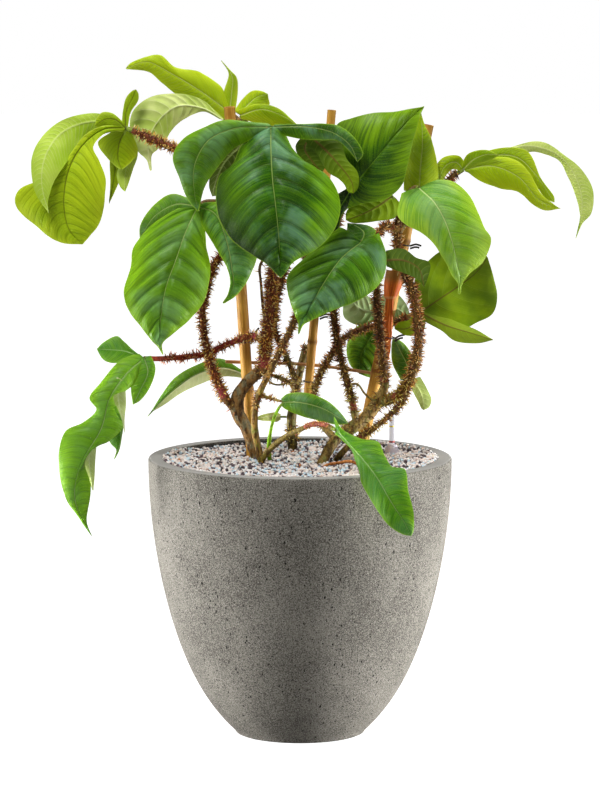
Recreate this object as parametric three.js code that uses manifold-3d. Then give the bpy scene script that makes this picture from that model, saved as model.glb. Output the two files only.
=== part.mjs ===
// Potted philodendron squamiferum: an egg-shaped planter with a filled growing tub, three bamboo
// canes, bristly leafy stems and five-lobed leaves. Millimetres, +Z up, origin under the pot's foot.
// The plant's points are [x, z, y]: x and z as they line up on the upright plane through the pot's
// axis for an eye EYE_DISTANCE in front, and y the depth behind that plane. at() puts them in place.
import * as THREE from "three";
import { mergeVertices } from "three/addons/utils/BufferGeometryUtils.js";
import Module from "manifold-3d";

// Driving dimensions
const EYE_DISTANCE = 6000;
const EYE_HEIGHT = 1229;
const POT_RADIUS = 200;
const POT_HEIGHT = 368;
const POT_WALL = 19;
const POT_TAPER = 88;
const POT_FOOT_CURL = 30;
const FILL_LEVEL = 361;
const POT_FLOOR = 22;
const POT_SIDES = 40;
const LINER_RADIUS_TOP = 179.6;
const LINER_RADIUS_FOOT = 82;
const LINER_WALL = 2.5;
const LINER_TOP = 365;
const LINER_SIDES = 36;
const FIT_GAP = 0.4;
const BLADE_THICKNESS = 0.9;
const GAUGE_RADIUS = 3.6;
const BRISTLE_LENGTH = 4.4;
const BRISTLE_RADIUS = 0.8;
const BRISTLE_SPACING = 16;

const wasm = await Module();
wasm.setup();

function at([x, z, y = 0]) {
  const k = 1 + y / EYE_DISTANCE;
  return new THREE.Vector3(x * k, y, EYE_HEIGHT + (z - EYE_HEIGHT) * k);
}

// A repeatable random number between 0 and 1
function seeded(seed) {
  let state = seed;
  return () => {
    state = (state * 1664525 + 1013904223) % 2 ** 32;
    return state / 2 ** 32;
  };
}

function solid(geometry) {
  const bare = geometry.clone();
  bare.deleteAttribute("normal");
  bare.deleteAttribute("uv");
  const merged = mergeVertices(bare, 1e-3);
  const vertProperties = new Float32Array(merged.attributes.position.array);
  const triVerts = new Uint32Array(merged.index.array);
  return new wasm.Manifold(new wasm.Mesh({ numProp: 3, vertProperties, triVerts }));
}

function geometryOf(manifold) {
  const mesh = manifold.getMesh();
  const geometry = new THREE.BufferGeometry();
  geometry.setAttribute("position", new THREE.BufferAttribute(mesh.vertProperties, 3));
  geometry.setIndex(new THREE.BufferAttribute(mesh.triVerts, 1));
  return geometry;
}

// The largest body of a union, with loose scraps dropped, sealed hollows filled and every vertex
// gone that can go without moving the surface by more than SLACK
const SLACK = 0.12;

function mainBody(manifold) {
  const bodies = manifold.decompose();
  bodies.sort((a, b) => b.volume() - a.volume());
  return bodies[0].simplify(SLACK);
}

const union = (list) => list.reduce((a, b) => a.add(b));

const smooth = (points) => new THREE.CatmullRomCurve3(points, false, "centripetal");

// The value at share t of a list whose values are spread evenly from 0 to 1
function spread(values, t) {
  const place = t * (values.length - 1);
  const low = Math.min(Math.floor(place), values.length - 2);
  return THREE.MathUtils.lerp(values[low], values[low + 1], place - low);
}

// A closed limb along a smooth curve through the points, round with the given sides;
// radii are spread evenly along it
function limb(points, radii, sides = 6, step = 20) {
  const curve = smooth(points);
  const rings = Math.max(2, Math.round(curve.getLength() / step));
  const frames = curve.computeFrenetFrames(rings, false);
  const vertices = [];
  const index = [];
  for (let i = 0; i <= rings; i++) {
    const t = i / rings;
    const centre = curve.getPointAt(t);
    const radius = spread(radii, t);
    for (let j = 0; j < sides; j++) {
      const a = (2 * Math.PI * j) / sides;
      const out = frames.normals[i].clone().multiplyScalar(Math.cos(a));
      out.addScaledVector(frames.binormals[i], Math.sin(a));
      vertices.push(...centre.clone().addScaledVector(out, radius).toArray());
    }
  }
  for (let i = 0; i < rings; i++)
    for (let j = 0; j < sides; j++) {
      const a = i * sides + j;
      const b = i * sides + ((j + 1) % sides);
      index.push(a, b, b + sides, a, b + sides, a + sides);
    }
  const first = vertices.length / 3;
  vertices.push(...curve.getPointAt(0).toArray(), ...curve.getPointAt(1).toArray());
  for (let j = 0; j < sides; j++) {
    const k = (j + 1) % sides;
    index.push(first, k, j, first + 1, rings * sides + j, rings * sides + k);
  }
  const geometry = new THREE.BufferGeometry();
  geometry.setAttribute("position", new THREE.Float32BufferAttribute(vertices, 3));
  geometry.setIndex(index);
  return geometry;
}

// Three-sided bristles round a limb, a golden angle apart, leaning outwards and up
const GOLDEN_ANGLE = 2.4;

function bristles(points, radii, from, to, seed) {
  const random = seeded(seed);
  const curve = smooth(points);
  const count = Math.round(((to - from) * curve.getLength()) / BRISTLE_SPACING);
  const made = [];
  for (let i = 0; i < count; i++) {
    const t = from + ((to - from) * (i + 0.5)) / count;
    const centre = curve.getPointAt(t);
    const along = curve.getTangentAt(t);
    const side = new THREE.Vector3(0.3, 1, 0.2).cross(along).normalize();
    const out = side.applyAxisAngle(along, i * GOLDEN_ANGLE + random() * 0.6);
    const radius = spread(radii, t);
    const lean = out.clone().addScaledVector(along, (random() - 0.4) * 0.9).normalize();
    const length = BRISTLE_LENGTH * (0.75 + 0.5 * random());
    const spike = new THREE.ConeGeometry(BRISTLE_RADIUS, length + radius * 0.6, 3);
    spike.translate(0, (length + radius * 0.6) / 2, 0);
    spike.applyQuaternion(new THREE.Quaternion().setFromUnitVectors(new THREE.Vector3(0, 1, 0), lean));
    const root = centre.clone().addScaledVector(out, radius * 0.4);
    spike.translate(root.x, root.y, root.z);
    made.push(solid(spike));
  }
  return made;
}

// A blade's middle surface: side ribs run from the midrib to the margin, leave it at a wide angle,
// bend towards the tip and bulge a little. rows are [place along the midrib, left margin, right
// margin]; droop is how far a margin falls behind the midrib for each millimetre beside it.
const BLADE_STEPS = 2;
const SMALL_LOBE_ROWS = 5;
const RIB_BEND = 0.1;

function blade({ rib, rows, droop = 0.25, bulge = 0.06, up = [0, -1, 0.3] }) {
  const curve = smooth(rib.map(at));
  const lift = new THREE.Vector3(...up).normalize();
  const steps = rows.length > SMALL_LOBE_ROWS ? BLADE_STEPS : 1;
  const vertices = [];
  const faces = [];
  const add = (p) => vertices.push(p) - 1;
  const mids = rows.map(([v], i) =>
    i > 0 && rows[i - 1][0] === v ? null : add(curve.getPointAt(v)),
  );
  mids.forEach((m, i) => {
    if (m === null) mids[i] = mids[i - 1];
  });
  const tip = add(curve.getPointAt(1));
  for (const side of [1, 2]) {
    const face = side === 1 ? (a, b, c) => faces.push([a, b, c]) : (a, b, c) => faces.push([a, c, b]);
    const ribs = rows.map((row, i) => {
      const v = row[0];
      const middle = curve.getPointAt(v);
      const [x, z, back = 0] = row[side];
      const flat = at([x, z, middle.y]);
      const reach = flat.distanceTo(middle);
      const margin = at([x, z, middle.y + droop * reach + back]);
      const turn = middle.clone().lerp(margin, 0.5);
      turn.addScaledVector(curve.getTangentAt(v), -RIB_BEND * reach);
      turn.addScaledVector(lift, bulge * 2 * reach);
      const line = new THREE.QuadraticBezierCurve3(middle, turn, margin);
      const list = [mids[i]];
      for (let j = 1; j <= steps; j++) list.push(add(line.getPoint(j / steps)));
      return list;
    });
    for (let i = 0; i + 1 < ribs.length; i++)
      for (let j = 0; j < steps; j++) {
        const [a, b] = [ribs[i][j], ribs[i][j + 1]];
        const [c, d] = [ribs[i + 1][j], ribs[i + 1][j + 1]];
        if (a !== c) face(a, b, c);
        face(b, d, c);
      }
    const last = ribs[ribs.length - 1];
    for (let j = 0; j < steps; j++) face(last[j], last[j + 1], tip);
  }
  return thicken(vertices, faces, BLADE_THICKNESS);
}

// A thin closed solid round a surface, the same triangles on both faces and a strip round the edge
function thicken(vertices, faces, thickness) {
  const normals = vertices.map(() => new THREE.Vector3());
  const uses = new Map();
  for (const [a, b, c] of faces) {
    const u = vertices[b].clone().sub(vertices[a]);
    const n = u.cross(vertices[c].clone().sub(vertices[a]));
    for (const k of [a, b, c]) normals[k].add(n);
    for (const [p, q] of [[a, b], [b, c], [c, a]]) uses.set(p + "_" + q, [p, q]);
  }
  const positions = [];
  for (const half of [0.5, -0.5])
    vertices.forEach((p, i) => {
      const n = normals[i].clone().normalize();
      positions.push(...p.clone().addScaledVector(n, half * thickness).toArray());
    });
  const under = vertices.length;
  const index = [];
  for (const [a, b, c] of faces) index.push(a, b, c, a + under, c + under, b + under);
  for (const [p, q] of uses.values())
    if (!uses.has(q + "_" + p)) index.push(q, p, p + under, q, p + under, q + under);
  const geometry = new THREE.BufferGeometry();
  geometry.setAttribute("position", new THREE.Float32BufferAttribute(positions, 3));
  geometry.setIndex(index);
  return geometry;
}

// Leaves. Margins are listed first on the right hand and then on the left hand of someone who walks
// the midrib from stalk to tip, as seen from in front. Each lobe is a blade of its own.
const LEAVES = {
  leaf_centre: [
    {
      rib: [[-38, 803, -96], [-38, 770, -112], [-36, 735, -122], [-32, 700, -126], [-28, 660, -124],
        [-25, 605, -112]],
      rows: [
        [0, [-56, 797], [-18, 791]],
        [0.05, [-76, 777], [-7, 768]],
        [0.14, [-87, 752], [12, 750]],
        [0.24, [-106, 737], [34, 741]],
        [0.36, [-111, 712], [50, 718]],
        [0.48, [-106, 684], [52, 693]],
        [0.6, [-88, 655], [42, 666]],
        [0.74, [-66, 637], [22, 643]],
        [0.88, [-44, 622], [-8, 625]],
        [0.95, [-34, 613], [-17, 615]],
      ],
      droop: 0.2,
      bulge: 0.1,
    },
    {
      rib: [[-36, 803, -96], [-85, 801, -104], [-120, 785, -100], [-138, 752, -92], [-138, 715, -88],
        [-133, 692, -86]],
      rows: [
        [0, [-42, 807], [-46, 796]],
        [0.25, [-92, 812], [-61, 790]],
        [0.45, [-125, 803], [-84, 776]],
        [0.58, [-152, 788], [-100, 760]],
        [0.7, [-165, 765], [-115, 742]],
        [0.82, [-158, 735], [-125, 722]],
        [0.93, [-147, 708], [-130, 704]],
      ],
      bulge: 0.12,
    },
    {
      rib: [[-42, 803, -98], [-72, 782, -84], [-98, 757, -72], [-110, 732, -67], [-115, 712, -67]],
      rows: [
        [0, [-48, 806], [-40, 797]],
        [0.35, [-84, 788], [-62, 766]],
        [0.6, [-110, 758], [-80, 738]],
        [0.85, [-119, 726], [-96, 716]],
      ],
      under: true,
    },
    {
      rib: [[-36, 803, -96], [10, 803, -106], [44, 795, -104], [66, 778, -98], [75, 757, -90]],
      rows: [
        [0, [-30, 795], [-32, 806]],
        [0.3, [2, 787], [5, 807]],
        [0.5, [30, 786], [30, 807]],
        [0.66, [48, 785], [52, 804]],
        [0.8, [60, 776], [70, 790]],
        [0.92, [69, 766], [82, 767]],
      ],
      bulge: 0.12,
    },
  ],
  leaf_left: [
    {
      rib: [[-135, 697, -62], [-150, 665, -74], [-163, 628, -82], [-176, 592, -84], [-183, 550, -80],
        [-185, 516, -74], [-180, 503, -70]],
      rows: [
        [0, [-166, 692], [-128, 686]],
        [0.04, [-196, 672], [-125, 664]],
        [0.16, [-219, 645], [-122, 645]],
        [0.3, [-222, 618], [-118, 622]],
        [0.45, [-230, 585], [-121, 596]],
        [0.6, [-224, 560], [-128, 570]],
        [0.73, [-207, 537], [-146, 548]],
        [0.86, [-192, 520], [-170, 530]],
        [0.93, [-186, 514], [-182, 518]],
      ],
      droop: 0.15,
      bulge: 0.08,
    },
    {
      rib: [[-134, 698, -61], [-160, 702, -58], [-190, 686, -50], [-210, 656, -44]],
      rows: [
        [0, [-140, 708], [-145, 694]],
        [0.35, [-168, 715], [-166, 690]],
        [0.6, [-192, 700], [-186, 678]],
        [0.82, [-209, 674], [-202, 665]],
      ],
    },
    {
      rib: [[-133, 698, -63], [-112, 690, -72], [-98, 660, -76], [-90, 620, -74], [-88, 592, -70],
        [-101, 571, -66]],
      rows: [
        [0, [-131, 690], [-122, 704]],
        [0.2, [-127, 672], [-96, 700]],
        [0.4, [-112, 647], [-72, 668]],
        [0.6, [-97, 622], [-57, 636]],
        [0.75, [-92, 600], [-66, 606]],
        [0.9, [-95, 582], [-82, 584]],
      ],
      bulge: 0.1,
    },
  ],
  leaf_middle: [
    {
      rib: [[80, 652, -72], [56, 633, -88], [36, 606, -94], [19, 577, -92], [2, 546, -84],
        [-2, 530, -82]],
      rows: [
        [0, [52, 672], [104, 664]],
        [0.03, [26, 652], [114, 636]],
        [0.16, [2, 628], [111, 610]],
        [0.32, [-14, 607], [98, 592]],
        [0.5, [-17, 590], [72, 573]],
        [0.66, [-13, 572], [42, 561]],
        [0.82, [-5, 553], [14, 549]],
        [0.92, [-1, 544], [3, 543]],
      ],
      droop: 0.2,
      bulge: 0.1,
    },
    {
      rib: [[80, 652, -72], [84, 664, -62], [74, 673, -52], [62, 677, -44]],
      rows: [
        [0, [92, 655], [72, 652]],
        [0.35, [99, 666], [70, 658]],
        [0.65, [88, 674], [62, 664]],
      ],
      bulge: 0.1,
    },
  ],
  leaf_upright: [
    {
      rib: [[72, 728, -52], [92, 752, -60], [120, 788, -62], [148, 818, -56], [162, 830, -50]],
      rows: [
        [0, [62, 697], [50, 738]],
        [0.02, [88, 704], [42, 772]],
        [0.06, [112, 709], [49, 806]],
        [0.14, [133, 728], [68, 814]],
        [0.3, [140, 752], [96, 821]],
        [0.5, [147, 780], [120, 823]],
        [0.7, [152, 800], [140, 826]],
        [0.9, [157, 820], [155, 828]],
      ],
      droop: 0.12,
      bulge: 0.08,
    },
    {
      rib: [[72, 728, -52], [60, 710, -42], [48, 686, -36], [42, 655, -34]],
      rows: [
        [0, [64, 724], [74, 716]],
        [0.3, [46, 712], [66, 700]],
        [0.55, [36, 694], [55, 688]],
        [0.8, [33, 674], [50, 668]],
      ],
    },
  ],
  leaf_right: [
    {
      rib: [[156, 723, -64], [176, 704, -80], [190, 679, -88], [199, 652, -90], [206, 624, -84],
        [210, 602, -76], [209, 583, -72]],
      rows: [
        [0, [133, 716], [184, 734]],
        [0.02, [128, 688], [202, 730]],
        [0.1, [137, 676], [222, 713]],
        [0.25, [160, 663], [234, 690]],
        [0.4, [178, 648], [242, 668]],
        [0.55, [190, 627], [250, 655]],
        [0.7, [199, 608], [241, 626]],
        [0.82, [207, 598], [222, 610]],
        [0.9, [208, 594], [212, 596]],
      ],
      droop: 0.2,
      bulge: 0.08,
    },
  ],
  leaf_behind_right: [
    {
      rib: [[158, 560, 2], [183, 577, 6], [208, 594, 8], [232, 613, 8], [246, 632, 6]],
      rows: [
        [0, [163, 552], [150, 575]],
        [0.02, [185, 545], [150, 603]],
        [0.12, [206, 534], [163, 622]],
        [0.3, [232, 546], [186, 641]],
        [0.5, [253, 558], [208, 646]],
        [0.7, [259, 580], [226, 645]],
        [0.85, [254, 606], [238, 642]],
      ],
      droop: -0.1,
      bulge: 0.06,
      under: true,
    },
    {
      rib: [[158, 559, 1], [190, 543, -4], [222, 533, -8], [254, 523, -12]],
      rows: [
        [0, [160, 550], [166, 560]],
        [0.3, [186, 535], [194, 552]],
        [0.5, [203, 522], [215, 543]],
        [0.75, [237, 519], [236, 534]],
      ],
      under: true,
    },
    {
      rib: [[158, 559, 2], [152, 546, 8], [140, 538, 12], [124, 538, 14]],
      rows: [
        [0, [152, 560], [166, 552]],
        [0.4, [142, 549], [160, 531]],
        [0.75, [130, 546], [140, 529]],
      ],
      under: true,
    },
  ],
  leaf_olive: [
    {
      rib: [[112, 628, -50], [135, 628, -56], [155, 618, -60], [163, 592, -58]],
      rows: [
        [0, [114, 620], [113, 641]],
        [0.3, [132, 613], [136, 643]],
        [0.55, [146, 607], [152, 632]],
        [0.8, [158, 600], [170, 624]],
      ],
      under: true,
    },
  ],
  leaf_yellow: [
    {
      rib: [[156, 716, -16], [157, 745, -18], [160, 780, -14], [158, 822, -8]],
      rows: [
        [0, [176, 720], [136, 720]],
        [0.2, [181, 735], [136, 742]],
        [0.45, [178, 760], [141, 768]],
        [0.7, [172, 787], [148, 795]],
        [0.88, [162, 806], [154, 812]],
      ],
      bulge: 0.1,
    },
  ],
  leaf_under: [
    {
      rib: [[120, 712, -26], [100, 698, -32], [80, 688, -34], [60, 681, -32]],
      rows: [
        [0, [112, 722], [134, 700]],
        [0.2, [96, 716], [124, 684]],
        [0.45, [80, 710], [100, 680]],
        [0.7, [66, 700], [80, 677]],
        [0.88, [60, 690], [68, 677]],
      ],
      under: true,
    },
  ],
  leaf_drooping: [
    {
      rib: [[14, 790, -82], [34, 772, -86], [54, 750, -88], [68, 730, -86], [70, 716, -84]],
      rows: [
        [0, [6, 786], [30, 792]],
        [0.25, [22, 768], [50, 788]],
        [0.5, [36, 744], [62, 760]],
        [0.7, [50, 736], [74, 745]],
        [0.82, [58, 728], [77, 733]],
        [0.92, [63, 718], [75, 721]],
      ],
      bulge: 0.12,
      under: true,
    },
    {
      rib: [[13, 790, -81], [6, 775, -78], [16, 758, -76], [29, 743, -74]],
      rows: [
        [0, [4, 792], [20, 788]],
        [0.3, [-6, 778], [20, 776]],
        [0.6, [2, 758], [32, 766]],
        [0.85, [18, 746], [33, 752]],
      ],
      under: true,
    },
  ],
  leaf_crown_left: [
    {
      rib: [[-228, 802, 2], [-258, 799, -10], [-284, 779, -20], [-302, 748, -26], [-309, 702, -26],
        [-302, 668, -22], [-285, 649, -18]],
      rows: [
        [0, [-233, 806], [-232, 798]],
        [0.2, [-262, 803], [-257, 793]],
        [0.3, [-284, 789], [-271, 776]],
        [0.4, [-299, 770], [-262, 759]],
        [0.5, [-322, 740], [-254, 736]],
        [0.6, [-369, 717], [-256, 714]],
        [0.72, [-371, 697], [-257, 694]],
        [0.84, [-342, 670], [-262, 678]],
        [0.93, [-315, 653], [-273, 664]],
      ],
      droop: 0.1,
      bulge: 0.08,
    },
    {
      rib: [[-229, 803, 3], [-270, 810, 4], [-309, 797, -16], [-332, 767, -42], [-338, 732, -54],
        [-329, 690, -56]],
      rows: [
        [0, [-240, 812], [-236, 799]],
        [0.2, [-268, 821], [-266, 798]],
        [0.38, [-307, 813], [-287, 780]],
        [0.52, [-334, 794], [-300, 764]],
        [0.66, [-350, 764], [-313, 746]],
        [0.79, [-351, 738], [-324, 726]],
        [0.91, [-343, 711], [-330, 706]],
      ],
      under: true,
    },
    {
      rib: [[-227, 801, 4], [-236, 782, 16], [-238, 762, 20], [-233, 747, 18]],
      rows: [
        [0, [-246, 797], [-221, 797]],
        [0.3, [-264, 782], [-213, 779]],
        [0.6, [-252, 762], [-212, 768]],
        [0.85, [-240, 751], [-222, 756]],
      ],
    },
    {
      rib: [[-226, 801, 4], [-219, 775, 26], [-228, 745, 34], [-229, 718, 32]],
      rows: [
        [0, [-230, 797], [-219, 796]],
        [0.4, [-231, 765], [-212, 768]],
        [0.65, [-240, 740], [-218, 748]],
        [0.85, [-235, 725], [-225, 728]],
      ],
      under: true,
    },
    {
      rib: [[-228, 800, 5], [-240, 768, 34], [-243, 738, 42], [-250, 702, 40]],
      rows: [
        [0, [-234, 797], [-226, 797]],
        [0.4, [-248, 765], [-232, 764]],
        [0.7, [-248, 730], [-236, 734]],
      ],
    },
    {
      rib: [[-228, 801, 3], [-227, 822, 8], [-219, 840, 12], [-214, 852, 12]],
      rows: [
        [0, [-225, 801], [-233, 803]],
        [0.35, [-221, 822], [-231, 824]],
        [0.65, [-211, 838], [-227, 841]],
        [0.88, [-211, 847], [-219, 850]],
      ],
    },
    {
      rib: [[-229, 803, 1], [-240, 812, -4], [-254, 813, -4], [-268, 804, -6]],
      rows: [
        [0, [-232, 810], [-232, 800]],
        [0.35, [-245, 821], [-243, 803]],
        [0.65, [-258, 822], [-255, 803]],
        [0.88, [-265, 815], [-264, 802]],
      ],
    },
  ],
  leaf_crown_pale: [
    {
      rib: [[-100, 812, 44], [-126, 827, 40], [-160, 830, 36], [-184, 812, 34], [-198, 785, 32],
        [-195, 745, 30]],
      rows: [
        [0, [-103, 818], [-106, 813]],
        [0.15, [-128, 838], [-128, 824]],
        [0.35, [-166, 847], [-152, 812]],
        [0.5, [-195, 842], [-168, 798]],
        [0.62, [-218, 823], [-176, 786]],
        [0.74, [-222, 798], [-186, 773]],
        [0.86, [-211, 770], [-193, 767]],
        [0.94, [-200, 760], [-195, 759]],
      ],
      under: true,
    },
  ],
  leaf_crown_lime: [
    {
      rib: [[-92, 822, 62], [-130, 850, 52], [-168, 873, 46], [-200, 888, 42], [-227, 879, 36]],
      rows: [
        [0, [-96, 838], [-98, 812]],
        [0.12, [-104, 856], [-110, 818]],
        [0.3, [-130, 874], [-134, 832]],
        [0.5, [-162, 881], [-164, 847]],
        [0.66, [-182, 896], [-181, 862]],
        [0.8, [-203, 894], [-196, 874]],
        [0.93, [-221, 886], [-218, 878]],
      ],
      bulge: 0.1,
    },
    {
      rib: [[-92, 822, 62], [-89, 848, 64], [-88, 868, 66], [-103, 890, 70]],
      rows: [
        [0, [-84, 826], [-100, 830]],
        [0.3, [-81, 852], [-99, 850]],
        [0.55, [-83, 868], [-95, 862]],
        [0.75, [-90, 876], [-93, 873]],
      ],
    },
  ],
  leaf_crown_right: [
    {
      rib: [[-78, 818, 30], [-50, 826, 18], [-24, 818, 14], [-3, 805, 10]],
      rows: [
        [0, [-77, 814], [-84, 824]],
        [0.3, [-50, 806], [-55, 833]],
        [0.6, [-26, 804], [-28, 827]],
        [0.85, [-11, 804], [-12, 814]],
      ],
    },
    {
      rib: [[-79, 819, 31], [-68, 832, 38], [-56, 842, 44], [-42, 846, 46]],
      rows: [
        [0, [-75, 821], [-86, 824]],
        [0.35, [-54, 826], [-76, 838]],
        [0.7, [-40, 832], [-62, 850]],
        [0.9, [-41, 840], [-50, 850]],
      ],
    },
  ],
  leaf_far_right: [
    {
      rib: [[214, 747, 8], [250, 752, -4], [285, 738, -10], [314, 707, -8], [341, 696, -4]],
      rows: [
        [0, [218, 744], [220, 752]],
        [0.12, [232, 735], [240, 761]],
        [0.35, [262, 722], [280, 761]],
        [0.55, [284, 719], [300, 742]],
        [0.75, [304, 702], [318, 713]],
        [0.92, [322, 694], [334, 700]],
      ],
      bulge: 0.1,
    },
    {
      rib: [[214, 748, 9], [250, 765, 14], [284, 763, 16], [311, 737, 14], [333, 704, 12]],
      rows: [
        [0, [217, 744], [212, 753]],
        [0.3, [258, 760], [250, 773]],
        [0.55, [288, 752], [296, 772]],
        [0.75, [305, 732], [315, 736]],
        [0.92, [322, 709], [332, 712]],
      ],
    },
    {
      rib: [[214, 748, 10], [262, 770, 32], [300, 778, 50], [336, 767, 56], [358, 742, 54],
        [369, 705, 48], [361, 656, 40]],
      rows: [
        [0, [217, 744], [212, 751]],
        [0.3, [280, 766], [278, 777]],
        [0.45, [310, 770], [314, 784]],
        [0.6, [338, 759], [346, 766]],
        [0.7, [350, 739], [367, 748]],
        [0.8, [359, 717], [383, 722]],
        [0.89, [367, 690], [381, 690]],
        [0.96, [366, 672], [370, 676]],
      ],
      under: true,
    },
    {
      rib: [[214, 748, 7], [228, 761, -6], [244, 767, -14], [260, 766, -16]],
      rows: [
        [0, [218, 746], [210, 750]],
        [0.4, [236, 756], [220, 768]],
        [0.75, [252, 761], [244, 773]],
      ],
    },
    {
      rib: [[213, 748, 8], [203, 757, 2], [190, 752, -4], [181, 733, -6]],
      rows: [
        [0, [217, 752], [212, 744]],
        [0.35, [208, 765], [200, 748]],
        [0.65, [187, 763], [190, 738]],
        [0.85, [177, 748], [186, 731]],
      ],
    },
  ],
  leaf_low_left: [
    {
      rib: [[-205, 499, -42], [-230, 476, -56], [-250, 446, -66], [-262, 405, -72], [-290, 355, -78],
        [-297, 310, -76], [-275, 262, -72]],
      rows: [
        [0, [-216, 503], [-206, 490]],
        [0.08, [-238, 494], [-212, 472]],
        [0.2, [-264, 465], [-228, 456]],
        [0.28, [-276, 446], [-246, 450]],
        [0.36, [-268, 431], [-241, 430]],
        [0.44, [-286, 414], [-233, 408]],
        [0.52, [-308, 402], [-250, 391]],
        [0.6, [-317, 375], [-270, 382]],
        [0.7, [-318, 348], [-283, 360]],
        [0.8, [-309, 315], [-277, 330]],
        [0.9, [-297, 293], [-280, 295]],
        [0.96, [-286, 276], [-281, 278]],
      ],
      bulge: 0.1,
    },
    {
      rib: [[-205, 499, -43], [-200, 480, -50], [-210, 457, -54], [-220, 437, -54]],
      rows: [
        [0, [-212, 505], [-196, 502]],
        [0.3, [-218, 478], [-190, 486]],
        [0.6, [-222, 460], [-196, 464]],
        [0.85, [-221, 445], [-210, 443]],
      ],
    },
    {
      rib: [[-205, 499, -41], [-230, 508, -36], [-250, 510, -32], [-267, 511, -28]],
      rows: [
        [0, [-214, 504], [-216, 494]],
        [0.35, [-232, 521], [-236, 493]],
        [0.55, [-240, 528], [-250, 493]],
        [0.8, [-258, 520], [-260, 498]],
      ],
    },
    {
      rib: [[-255, 424, -70], [-238, 408, -64], [-236, 392, -60], [-245, 364, -58]],
      rows: [
        [0, [-256, 424], [-242, 436]],
        [0.35, [-256, 402], [-233, 410]],
        [0.6, [-250, 386], [-235, 392]],
        [0.8, [-242, 377], [-238, 378]],
      ],
    },
    {
      rib: [[-240, 474, -60], [-239, 446, -50], [-236, 425, -46], [-231, 400, -44]],
      rows: [
        [0, [-246, 468], [-230, 466]],
        [0.4, [-248, 440], [-229, 440]],
        [0.75, [-236, 418], [-231, 418]],
      ],
      under: true,
    },
    {
      rib: [[-276, 394, -75], [-278, 366, -62], [-276, 342, -58], [-273, 322, -58]],
      rows: [
        [0, [-278, 384], [-268, 384]],
        [0.4, [-284, 360], [-270, 360]],
        [0.75, [-279, 338], [-271, 340]],
      ],
      under: true,
    },
  ],
  leaf_arching: [
    {
      rib: [[-70, 476, 70], [-100, 486, 66], [-135, 478, 58], [-168, 456, 50], [-201, 421, 44]],
      rows: [
        [0, [-72, 480], [-72, 475]],
        [0.2, [-104, 498], [-99, 484]],
        [0.45, [-138, 489], [-133, 475]],
        [0.65, [-165, 472], [-158, 461]],
        [0.82, [-183, 449], [-178, 445]],
        [0.93, [-193, 432], [-191, 432]],
      ],
      droop: 0.5,
    },
    {
      rib: [[-70, 476, 70], [-100, 485, 66], [-134, 477, 58], [-166, 456, 51], [-196, 427, 46]],
      rows: [
        [0, [-72, 477], [-72, 472]],
        [0.2, [-101, 486], [-98, 475]],
        [0.45, [-134, 477], [-128, 466]],
        [0.65, [-160, 461], [-152, 455]],
        [0.85, [-182, 441], [-178, 438]],
      ],
      droop: 0.5,
      under: true,
    },
  ],
  leaf_small: [
    {
      rib: [[-22, 440, -78], [0, 440, -84], [30, 432, -86], [64, 412, -82]],
      rows: [
        [0, [-26, 438], [-25, 445]],
        [0.06, [-22, 433], [-18, 451]],
        [0.16, [-12, 428], [-6, 453]],
        [0.38, [6, 421], [16, 451]],
        [0.6, [28, 415], [38, 441]],
        [0.85, [49, 411], [55, 424]],
      ],
      droop: 0.4,
    },
  ],
  leaf_front: [
    {
      rib: [[48, 403, -162], [66, 383, -186], [96, 348, -208], [120, 308, -222], [138, 280, -224],
        [147, 262, -222]],
      rows: [
        [0, [47, 398], [45, 421]],
        [0.05, [54, 393], [56, 404]],
        [0.16, [72, 372], [80, 392]],
        [0.26, [77, 350], [103, 388]],
        [0.36, [81, 337], [112, 368]],
        [0.46, [88, 322], [121, 354]],
        [0.56, [96, 305], [138, 352]],
        [0.7, [108, 288], [143, 322]],
        [0.84, [122, 273], [150, 290]],
        [0.94, [136, 264], [150, 268]],
      ],
      droop: 0.1,
      bulge: 0.08,
    },
  ],
  leaf_back_low: [
    {
      rib: [[100, 536, 84], [90, 522, 88], [80, 502, 92], [78, 478, 94]],
      rows: [
        [0, [88, 547], [106, 528]],
        [0.3, [70, 537], [112, 505]],
        [0.6, [62, 516], [106, 487]],
        [0.85, [66, 491], [95, 474]],
      ],
    },
  ],
  leaf_back_right: [
    {
      rib: [[146, 470, 52], [140, 492, 58], [132, 508, 62], [122, 527, 64]],
      rows: [
        [0, [152, 478], [132, 470]],
        [0.4, [148, 500], [122, 492]],
        [0.75, [137, 518], [120, 512]],
      ],
    },
    {
      rib: [[146, 470, 51], [155, 460, 46], [161, 446, 42], [163, 430, 42]],
      rows: [
        [0, [146, 462], [158, 474]],
        [0.35, [150, 452], [167, 458]],
        [0.7, [156, 440], [173, 444]],
        [0.9, [160, 432], [170, 434]],
      ],
      under: true,
    },
  ],
  leaf_back_pale: [
    {
      rib: [[100, 560, 82], [84, 562, 78], [70, 572, 76], [58, 584, 78]],
      rows: [
        [0, [98, 572], [98, 548]],
        [0.35, [84, 584], [80, 542]],
        [0.7, [68, 590], [58, 552]],
      ],
      under: true,
    },
    {
      rib: [[100, 560, 83], [120, 566, 90], [134, 560, 92], [147, 545, 92]],
      rows: [
        [0, [102, 548], [100, 574]],
        [0.35, [122, 545], [120, 588]],
        [0.7, [136, 545], [138, 572]],
      ],
      under: true,
    },
  ],
  leaf_sliver: [
    {
      rib: [[-27, 421, 98], [-38, 422, 94], [-45, 421, 88], [-60, 418, 84]],
      rows: [
        [0, [-25, 424], [-25, 418]],
        [0.12, [-31, 427], [-30, 414.5]],
        [0.4, [-40, 426], [-38, 415]],
        [0.8, [-52, 423], [-50, 416]],
      ],
      under: true,
    },
  ],
};

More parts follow.
